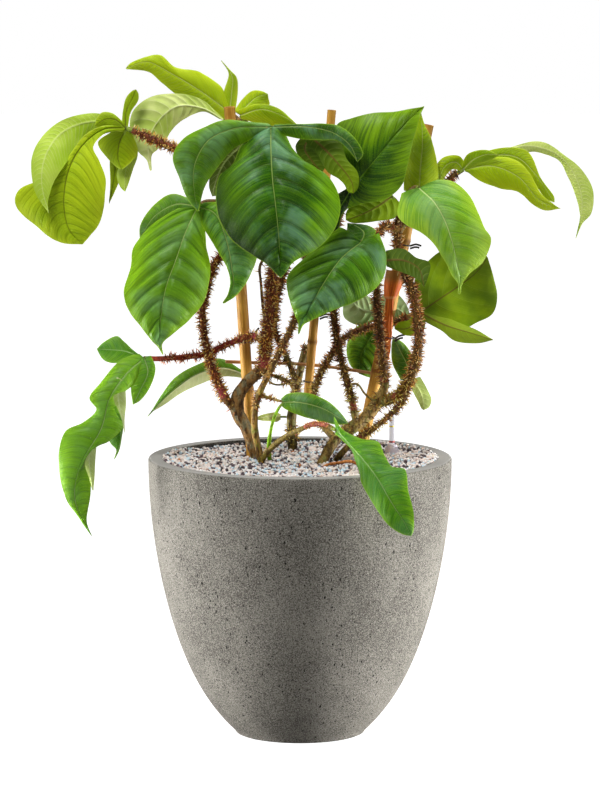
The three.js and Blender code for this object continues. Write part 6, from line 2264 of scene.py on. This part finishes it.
def granule_tree() -> Tree:
    """Geometry nodes that lay loose stones on the fill's top.

    Returns:
        A tree whose inputs are the stones' spacing, size, lift, seed and finish.
    """
    inputs = (
        ("Geometry", "Geometry", None),
        ("Spacing", "Float", 0.0038),
        ("Size", "Float", 0.0029),
        ("Lift", "Float", 0.0022),
        ("Seed", "Int", 1),
        ("Finish", "Material", None),
    )
    tree, w, given, result = start_group("Granules", "Geometry", inputs, [("Geometry", "Geometry", None)])
    ground = {
        "Mesh": given.outputs["Geometry"],
        "Distance Min": given.outputs["Spacing"],
        "Density Max": 400000.0,
        "Seed": given.outputs["Seed"],
    }
    spread = w.fed("GeometryNodeDistributePointsOnFaces", ground, distribute_method="POISSON")
    stone = w.fed("GeometryNodeMeshIcoSphere", {"Subdivisions": 1, "Radius": given.outputs["Size"]})
    chance = w.fed("FunctionNodeRandomValue", {"Seed": 23}, data_type="FLOAT")
    rise = w.join(0.0, 0.0, w.times(given.outputs["Lift"], chance.outputs[1]))
    lifted = w.fed("GeometryNodeSetPosition", {"Geometry": spread.outputs["Points"], "Offset": rise})
    turn = w.fed("FunctionNodeRandomValue", {1: (FULL_TURN, FULL_TURN, FULL_TURN)}, data_type="FLOAT_VECTOR")
    sizes = {0: (0.6, 0.55, 0.5), 1: (1.15, 1.0, 0.95), "Seed": 5}
    size = w.fed("FunctionNodeRandomValue", sizes, data_type="FLOAT_VECTOR")
    inputs = {
        "Points": lifted.outputs[0],
        "Instance": stone.outputs["Mesh"],
        "Rotation": turn.outputs[0],
        "Scale": size.outputs[0],
    }
    real = crowd(w, inputs)
    rough = w.fed("ShaderNodeTexNoise", {"Scale": 600.0}, noise_dimensions="3D")
    shake = {0: rough.outputs["Color"], 1: (0.0012, 0.0012, 0.0012), 2: (-0.0006, -0.0006, -0.0006)}
    offset = w.fed("ShaderNodeVectorMath", shake, operation="MULTIPLY_ADD")
    shaken = w.fed("GeometryNodeSetPosition", {"Geometry": real, "Offset": offset.outputs[0]})
    dress(w, shaken.outputs[0], given, result)
    return tree


@dataclass
class Fill:
    """The bed of loose mineral granules in the tub."""

    floor: float = 25.3
    gap: float = 2.9
    shoulder: float = 357.0
    lumpy_from: float = 145.0
    sides: int = 120
    bare_at: float = 2.0
    bare_from: float = 0.75
    bare_to: float = 0.35
    edge_rise: float = 5.4
    sheet_sides: int = 96
    bed_gap_shade: float = 0.88
    stones: Granules = Granules("granules", base="d2cac6")

    def level(self, x: float, y: float) -> float:
        """The bed's height at a point.

        Args:
            x: millimetres to the right.
            y: millimetres to the back.

        Returns:
            The height in millimetres.
        """
        far = math.sin(x / 11 + 1.3) * math.cos(y / 9) * 1.5
        near = math.sin(x / 5.3 - y / 6.1) * 1.1 + math.cos(y / 4.3 + x / 17) * 0.8
        return FILL_LEVEL + far + near

    def sheet(self) -> Piece:
        """The surface that the loose stones lie on: the bed, running up over the tub's edge except
        where that edge is bare, at the back left.

        Returns:
            The sheet, to be removed once the stones lie.
        """
        radii = np.array([*np.linspace(0.5, 172, 44), 176, 178.5, 180.6])
        sides = self.sheet_sides
        turn = 2 * math.pi * np.arange(sides) / sides
        bare = ramp(self.bare_from, self.bare_to, np.abs(turn - self.bare_at))
        points = []
        for r in radii:
            rise = float(ramp(168, 179, np.array(r))) * self.edge_rise
            for a, free in zip(turn, bare):
                reach = r - free * max(0.0, r - 173)
                x, y = reach * math.cos(a), reach * math.sin(a)
                flat = float(ramp(self.lumpy_from + 30, self.lumpy_from, np.array(r)))
                points.append((x, y, FILL_LEVEL + flat * (self.level(x, y) - FILL_LEVEL) + rise * (1 - free)))
        faces = []
        for i in range(len(radii) - 1):
            for j in range(sides):
                a, b = i * sides + j, i * sides + (j + 1) % sides
                faces.append((a, a + sides, b + sides, b))
        patch = Patch()
        patch.add(np.array(points), faces)
        return patch.piece("fill_sheet", [])

    def build(self) -> None:
        """Make the bed and lay its stones."""
        edge = liner_radius(self.shoulder) - self.gap
        heights = np.linspace(self.floor + 4, self.shoulder, 16)
        outside = [(0.0, self.floor), *[(liner_radius(z) - self.gap, z) for z in heights]]
        radii = [edge - 2, *np.linspace(self.lumpy_from + 20, 6, 40), 0.0]
        points, faces = lathe([*outside, *[(r, FILL_LEVEL) for r in radii]], self.sides)
        for p in points:
            if p[2] == FILL_LEVEL:
                flat = ramp(edge, self.lumpy_from + 20, math.hypot(p[0], p[1]))
                p[2] += float(flat) * (self.level(p[0], p[1]) - FILL_LEVEL) - 1.0
        patch = Patch()
        # The bed takes a dark stone colour, as painted shade in the gaps between the loose stones.
        patch.add(points, faces, shade=np.full(len(points), self.bed_gap_shade))
        finish = self.stones.material()
        bed = patch.piece("fill_bed", [finish])
        sheet = self.sheet()
        loose = grown_piece(sheet, granule_tree(), "fill_stones", finish, Seed=4)
        bpy.data.objects.remove(sheet)
        settle(loose, "granules")
        settle(bed, "granules", "substrate")


@dataclass(frozen=True)
class Cane:
    """A straight bamboo cane: its top and lower end, radius, and joints as shares of its length."""

    top: Point
    foot: Point
    radius: float
    joints: tuple[float, ...]

    def at(self, z: float) -> np.ndarray:
        """The axis at an apparent height.

        Args:
            z: the height as seen.

        Returns:
            The point in millimetres.
        """
        t = (z - self.foot[1]) / (self.top[1] - self.foot[1])
        x, y = (self.foot[k] + (self.top[k] - self.foot[k]) * t for k in (0, 2))
        return place((x, z, y))


CANES: dict[str, Cane] = {
    "cane_left": Cane((-92, 829, 13), (-59, 300, 54), 7.5, (0.3, 0.62)),
    "cane_middle": Cane((41.5, 825, 44), (9.6, 440, 50.2), 5.8, (0.21, 0.66)),
    "cane_right": Cane((167, 806, 34), (65, 300, 30), 8.0, (0.36, 0.7)),
}


@dataclass(frozen=True)
class Tie:
    """A wire loop round a cane: its height, its distance off the cane, and its loose end."""

    cane: str
    height: float
    slack: float
    tail: tuple[Point, ...]


TIES: dict[str, Tie] = {
    "tie_left": Tie("cane_left", 521, 1.5, ((-60, 531), (-54, 539))),
    "tie_middle": Tie("cane_middle", 555, 1.5, ((34, 557), (39, 556))),
    "tie_small": Tie("cane_middle", 468, 1.5, ((21, 462), (22, 456))),
    "tie_low": Tie("cane_right", 528, 6.8, ((130, 528), (138, 530))),
    "tie_high": Tie("cane_right", 649, 1.5, ((152, 649), (159, 647))),
}


@dataclass
class Supports:
    """The bamboo canes with their cross stick, dried sheath and wire ties."""

    cane_sides: int = 24
    swell: float = 0.9
    lip: float = 0.72
    stick_radius: float = 2.2
    stick_heights: tuple[tuple[str, float], ...] = (("cane_left", 492), ("cane_middle", 489))
    stick_out: float = 0.32
    stick_end: Point = (103, 478, 63)
    wire: float = 0.9
    tail_wire: float = 1.3
    tail_gap: float = 3.6
    sheath_thickness: float = 1.2
    sheath_rows: tuple[tuple[float, float, float, float], ...] = (
        (499, 0.25, 1.2, 9.5),
        (516, 0.4, 1.4, 6.5),
        (542, 0.55, 1.8, 1.5),
        (577, 0.5, 1.8, -3),
        (581, 0.85, 2.6, -3),
        (588, 1.0, 2.6, -2.8),
        (600, 1.5, 3.2, -2.5),
        (616, 1.8, 3.8, -2.5),
    )
    bamboo: Bamboo = Bamboo("bamboo", base="c08a3e", dark="a0681c", pale="dca848")
    twig: Bamboo = Bamboo("twig", base="9a6c4a", dark="8e5c32", pale="d09c68", joint="7a4a2c")
    sheath: Sheath = Sheath("dried_sheath", base="b5501e")
    black: Moulded = Moulded("tie_wire", base="17130f", tint="4a3a2a", roughness=0.4)

    def cane(self, name: str, cane: Cane) -> None:
        """Make one cane, a little crooked in its skin and swollen at its joints.

        Args:
            name: the cane's solid.
            cane: its sizes.
        """
        foot, top = place(cane.foot), place(cane.top)
        length = float(np.linalg.norm(top - foot))
        fine = [j + d for j in cane.joints for d in (-0.02, -0.01, -0.004, 0.0, 0.004, 0.01, 0.02)]
        share = np.unique(np.concatenate([np.linspace(0, 1, 60), fine]))
        near = np.zeros_like(share)
        for j in cane.joints:
            near = np.maximum(near, np.exp(-(((share - j) * length / 3.5) ** 2)))
        line = foot + share[:, None] * (top - foot)
        radii = cane.radius * (1 + 0.012 * np.sin(share * 31)) + self.swell * near
        sides = self.cane_sides
        points, faces, turn = tube(line, radii, sides)
        marks = np.stack([turn, np.repeat(share * length, sides), np.repeat(near, sides)], axis=1)
        patch = Patch()
        patch.add(points, faces, cane=marks)
        # A disc inside the top rim takes the dark joint colour, as painted shade in the cane's hollow end.
        ring = points[-sides:]
        lip = ring.mean(axis=0) + (ring - ring.mean(axis=0)) * self.lip
        dark = marks[-sides:] * (1, 1, 0) + (0, 0, 1)
        patch.add(lip + (top - foot) / length * 0.15, [tuple(range(sides))], cane=dark)
        settle(patch.piece(f"{name}_culm", [self.bamboo.material()]), "bamboo", name)

    def stick(self) -> None:
        """Make the thin cross stick behind the canes."""
        ends = []
        for name, height in self.stick_heights:
            point = CANES[name].at(height)
            point[1] += CANES[name].radius + self.stick_radius + FIT_GAP
            ends.append(point)
        start = ends[0] - self.stick_out * (ends[1] - ends[0])
        path = Path([start, *ends, place(self.stick_end)])
        share = np.linspace(0, 1, 60)
        line = path.at(share)
        radii = self.stick_radius * (1 + 0.06 * np.sin(share * 33))
        points, faces, turn = tube(line, radii, 12)
        far = np.repeat(share * path.length, 12)
        patch = Patch()
        patch.add(points, faces, cane=np.stack([turn, far, np.zeros_like(far)], axis=1))
        settle(patch.piece("cross_stick_twig", [self.twig.material()]), "twig", "cross_stick")

    def dried_sheath(self) -> None:
        """Make the sheath that hugs the front of the right cane, with a torn edge."""
        level, spans, flares, moves = np.array(self.sheath_rows).T
        heights = np.linspace(level[-1], level[0], 60)
        span = np.interp(heights, level, spans)
        flare = np.interp(heights, level, flares)
        aside = np.interp(heights, level, moves)
        columns = 20
        share = np.linspace(-1, 1, columns + 1)
        grid = []
        for i, z in enumerate(heights):
            tear = 0.03 * math.sin(z / 3.1) + 0.02 * math.sin(z / 1.3)
            angle = -math.pi / 2 + (span[i] + tear) * share
            fold = 0.25 * np.sin(share * 9 + z / 14)
            r = CANES["cane_right"].radius + 0.8 + flare[i] + fold
            centre = CANES["cane_right"].at(z) + (aside[i], 0, 0)
            grid.append(centre + np.stack([r * np.cos(angle), r * np.sin(angle), np.zeros_like(r)], axis=1))
        points = np.concatenate(grid)
        faces: Faces = []
        wide = columns + 1
        for i in range(len(heights) - 1):
            for j in range(columns):
                a = i * wide + j
                faces.append((a, a + wide, a + wide + 1, a + 1))
        normal = Foliage.normals(points, faces)
        half = normal * self.sheath_thickness / 2
        n = len(points)
        loop = [*range(0, n, wide), *range(n - wide + 1, n)]
        loop += [*range(n - wide - 1, 0, -wide), *range(columns - 1, 0, -1)]
        rim = [(b, a, a + n, b + n) for a, b in zip(loop, [*loop[1:], loop[0]])]
        back = [tuple(k + n for k in reversed(f)) for f in faces]
        edge = np.tile(np.abs(share) ** 12, len(heights))
        marks = np.stack([np.tile(share, len(heights)) * 0.3, np.repeat(heights, wide), edge], axis=1)
        patch = Patch()
        both = np.vstack([points + half, points - half])
        patch.add(both, [*faces, *back, *rim], cane=np.vstack([marks, marks]))
        settle(patch.piece("dried_sheath_husk", [self.sheath.material()], 60), "dried_sheath", "dried_sheath")

    def tie(self, name: str, tie: Tie) -> None:
        """Wind one wire loop and its two loose ends.

        Args:
            name: the tie's solid.
            tie: its place and sizes.
        """
        cane = CANES[tie.cane]
        centre = cane.at(tie.height)
        axis = unit(cane.at(tie.height + 10) - centre)
        turn = Vector((0, 0, 1)).rotation_difference(Vector(axis))
        radius = cane.radius + tie.slack
        patch = Patch()
        angle = 2 * math.pi * np.arange(33) / 32
        ring = [turn @ Vector((radius * math.cos(a), radius * math.sin(a), 0)) for a in angle]
        ring = np.array(ring) + centre
        points, faces, _ = tube(ring, np.full(33, self.wire), 8)
        patch.add(points, faces)
        start = np.array(turn @ Vector((radius * 0.94, -radius * 0.34, 0))) + centre
        tail = Path([start, *(place((x, z, start[1])) for x, z in tie.tail)])
        for end, drop in ((1.0, 0.0), (0.82, self.tail_gap)):
            line = tail.stretch(0, end, 1.5) - np.array([0, 0, drop])
            points, faces, _ = tube(line, np.full(len(line), self.tail_wire), 8)
            patch.add(points, faces)
        settle(patch.piece(f"{name}_wire", [self.black.material()]), "wire", name)

    def build(self) -> None:
        """Make the canes and what holds them."""
        for name, cane in CANES.items():
            self.cane(name, cane)
        self.stick()
        self.dried_sheath()
        for name, tie in TIES.items():
            self.tie(name, tie)


@dataclass
class Gauge:
    """The water gauge: a clear tube with yellow marks, its red float and its domed cap."""

    spot: Point = (121, 400, 70)
    sides: int = 40
    top: float = 424.0
    foot: float = 292.0
    radius: float = 3.6
    bore: float = 1.9
    float_radius: float = 1.4
    float_top: float = 379.0
    cap_radius: float = 10.0
    marks: tuple[float, ...] = (398.0, 416.0)
    red_mark: float = 377.0
    # The dark base keeps the tube's lit side from burning out; its painted glow lights the shaded side.
    clear: Clear = Clear("gauge_clear", base="66646a", lit="cecccf")
    yellow: Moulded = Moulded("gauge_marks", base="d8c22a", tint="8a7a1c", roughness=0.5)
    red: Moulded = Moulded("gauge_red", base="b8281c", tint="7a1f16", roughness=0.45)
    grey: Moulded = Moulded("gauge_cap_grey", base="ece6f2", tint="ccc4d0", roughness=0.3)

    def band(self, z: float, width: float, lift: float, soft: float) -> Profile:
        """The outline of a band round the tube.

        Args:
            z: its lower edge.
            width: its width.
            lift: how far it stands off the tube.
            soft: the height of its bevelled edges.

        Returns:
            Radius and height of its four corners.
        """
        inner, outer = self.radius - 0.05, self.radius + lift
        return [(inner, z), (outer, z + soft), (outer, z + width - soft), (inner, z + width)]

    def put(self, name: str, node: str, *parts: tuple[Profile, Plain]) -> None:
        """Turn profiles and stand them at the gauge's place.

        Args:
            name: the piece's name.
            node: the solid that it stands for.
            parts: each profile with its finish.
        """
        finishes = list(dict.fromkeys(finish for _, finish in parts))
        axis = place(self.spot) * (1, 1, 0)
        patch = Patch()
        for profile, finish in parts:
            points, faces = lathe(profile, self.sides)
            patch.add(points + axis, faces, finishes.index(finish))
        slot = node.replace("tube", "clear")
        settle(patch.piece(name, [f.material() for f in finishes], 30), slot, node)

    def build(self) -> None:
        """Make the tube, the float and the cap."""
        top = float(place((self.spot[0], self.top, self.spot[2]))[2])
        floor = self.foot + 3
        tube_profile = [
            (0.0, self.foot),
            (self.radius, self.foot),
            (self.radius, top - 0.5),
            (self.radius - 0.4, top),
            (self.bore + 0.3, top),
            (self.bore, top - 0.4),
            (self.bore, floor),
            (0.0, floor),
        ]
        bands = [(self.band(z, 2.0, 0.06, 0.1), self.yellow) for z in self.marks]
        ring = (self.band(self.red_mark, 2.6, 0.08, 0.2), self.red)
        self.put("gauge_tube_clear", "gauge_tube", (tube_profile, self.clear), *bands, ring)
        thick, low, high = self.float_radius, floor + FIT_GAP, self.float_top
        rod = [(0.0, low), (thick, low), (thick, high - 0.6), (thick - 0.5, high), (0.0, high)]
        self.put("gauge_float_rod", "gauge_float", (rod, self.red))
        seat = FILL_LEVEL + 0.2
        inner = self.radius + FIT_GAP
        dome = [(inner, seat), (self.cap_radius - 0.6, seat), (self.cap_radius, seat + 0.6)]
        dome += [(self.cap_radius - 0.5 * t, seat + 0.6 + 4.6 * t) for t in (0.5, 1.0)]
        crown = ((8.6, 8.2), (7.3, 11.2), (6.0, 13), (5.2, 13.8), (inner, 14), (inner, 0))
        dome += [(radius, seat + rise) for radius, rise in crown]
        self.put("gauge_cap_dome", "gauge_cap", (dome, self.grey))


@dataclass(frozen=True)
class Lamp:
    """A soft box: where it stands, what it looks at, its size in metres, power and spread."""

    name: str
    spot: tuple[float, float, float]
    aim: tuple[float, float, float]
    size: tuple[float, float]
    power: float
    spread: float = 180.0


@dataclass
class Studio:
    """The white surroundings, the lamps and the camera of the photograph."""

    lens: float = 206.9
    eye: tuple[float, float, float] = (0.0, -6.0, 1.229)
    tilt: float = 7.46
    sensor: float = 36.0
    sight: float = 60.0
    floor_half: float = 12.0
    floor_drop: float = 0.0004
    ambient: float = 0.16
    paper: str = "b4b4b4"
    white: str = "ffffff"
    lamps: tuple[Lamp, ...] = (
        Lamp("left_strip", (-1.9, 0.1, 0.12), (0, 0, 0.12), (0.5, 0.4), 7.0, 45.0),
        Lamp("right_strip", (1.9, 0.1, 0.12), (0, 0, 0.12), (0.5, 0.4), 8.5, 45.0),
        Lamp("front_box", (-1.2, -2.4, 3.0), (0, 0, 0.6), (1.2, 0.9), 88.0),
        Lamp("top_box", (0.5, 0.2, 2.8), (0, 0, 0.6), (1.6, 1.2), 50.0),
    )

    def surroundings(self) -> None:
        """Set a world that is white to the eye and dimmer as a light, and lay a floor like it."""
        world = bpy.data.worlds.new("white_world")
        world.use_nodes = True
        w = Weaver(world.node_tree)
        back = world.node_tree.nodes["Background"]
        back.inputs["Color"].default_value = colour(self.white)
        seen = w.node("ShaderNodeLightPath").outputs["Is Camera Ray"]
        w.feed(back.inputs["Strength"], w.plus(w.times(seen, 1 - self.ambient), self.ambient))
        bpy.context.scene.world = world
        half = self.floor_half
        sheet = bpy.data.meshes.new("floor")
        corners = [(-half, -half), (half, -half), (half, half), (-half, half)]
        sheet.from_pydata([(x, y, -self.floor_drop) for x, y in corners], [], [(0, 1, 2, 3)])
        floor = bpy.data.objects.new("floor", sheet)
        bpy.context.scene.collection.objects.link(floor)
        paper, w, shader = Plain("white_floor", base=self.paper, roughness=0.9, specular=0.1).start()
        shader.inputs["Emission Color"].default_value = colour(self.white)
        w.feed(shader.inputs["Emission Strength"], w.node("ShaderNodeLightPath").outputs["Is Camera Ray"])
        sheet.materials.append(paper)

    def light(self, lamp: Lamp) -> None:
        """Hang one soft box.

        Args:
            lamp: the soft box.
        """
        data = bpy.data.lights.new(lamp.name, "AREA")
        data.shape = "RECTANGLE"
        data.size, data.size_y = lamp.size
        data.energy = lamp.power
        data.spread = math.radians(lamp.spread)
        made = bpy.data.objects.new(lamp.name, data)
        made.location = lamp.spot
        aim = Vector(lamp.aim) - Vector(lamp.spot)
        made.rotation_euler = aim.to_track_quat("-Z", "Y").to_euler()
        bpy.context.scene.collection.objects.link(made)

    def camera(self) -> None:
        """Stand the camera where the photograph was taken from."""
        data = bpy.data.cameras.new("eye")
        data.lens = self.lens
        data.sensor_width = self.sensor
        data.clip_end = self.sight
        made = bpy.data.objects.new("eye", data)
        made.location = self.eye
        made.rotation_euler = (math.radians(90 - self.tilt), 0, 0)
        bpy.context.scene.collection.objects.link(made)
        bpy.context.scene.camera = made

    def build(self) -> None:
        """Set up the surroundings, the lamps and the camera."""
        self.surroundings()
        for lamp in self.lamps:
            self.light(lamp)
        self.camera()
        bpy.context.scene.view_settings.view_transform = "Standard"


def main() -> None:
    """Build every sub-assembly in order and hand the looks over."""
    logging.basicConfig(level=logging.INFO, format="%(message)s")
    Planter().build()
    Fill().build()
    Supports().build()
    Gauge().build()
    Stems().build()
    Foliage().build()
    Studio().build()


if __name__ == "__main__":
    main()
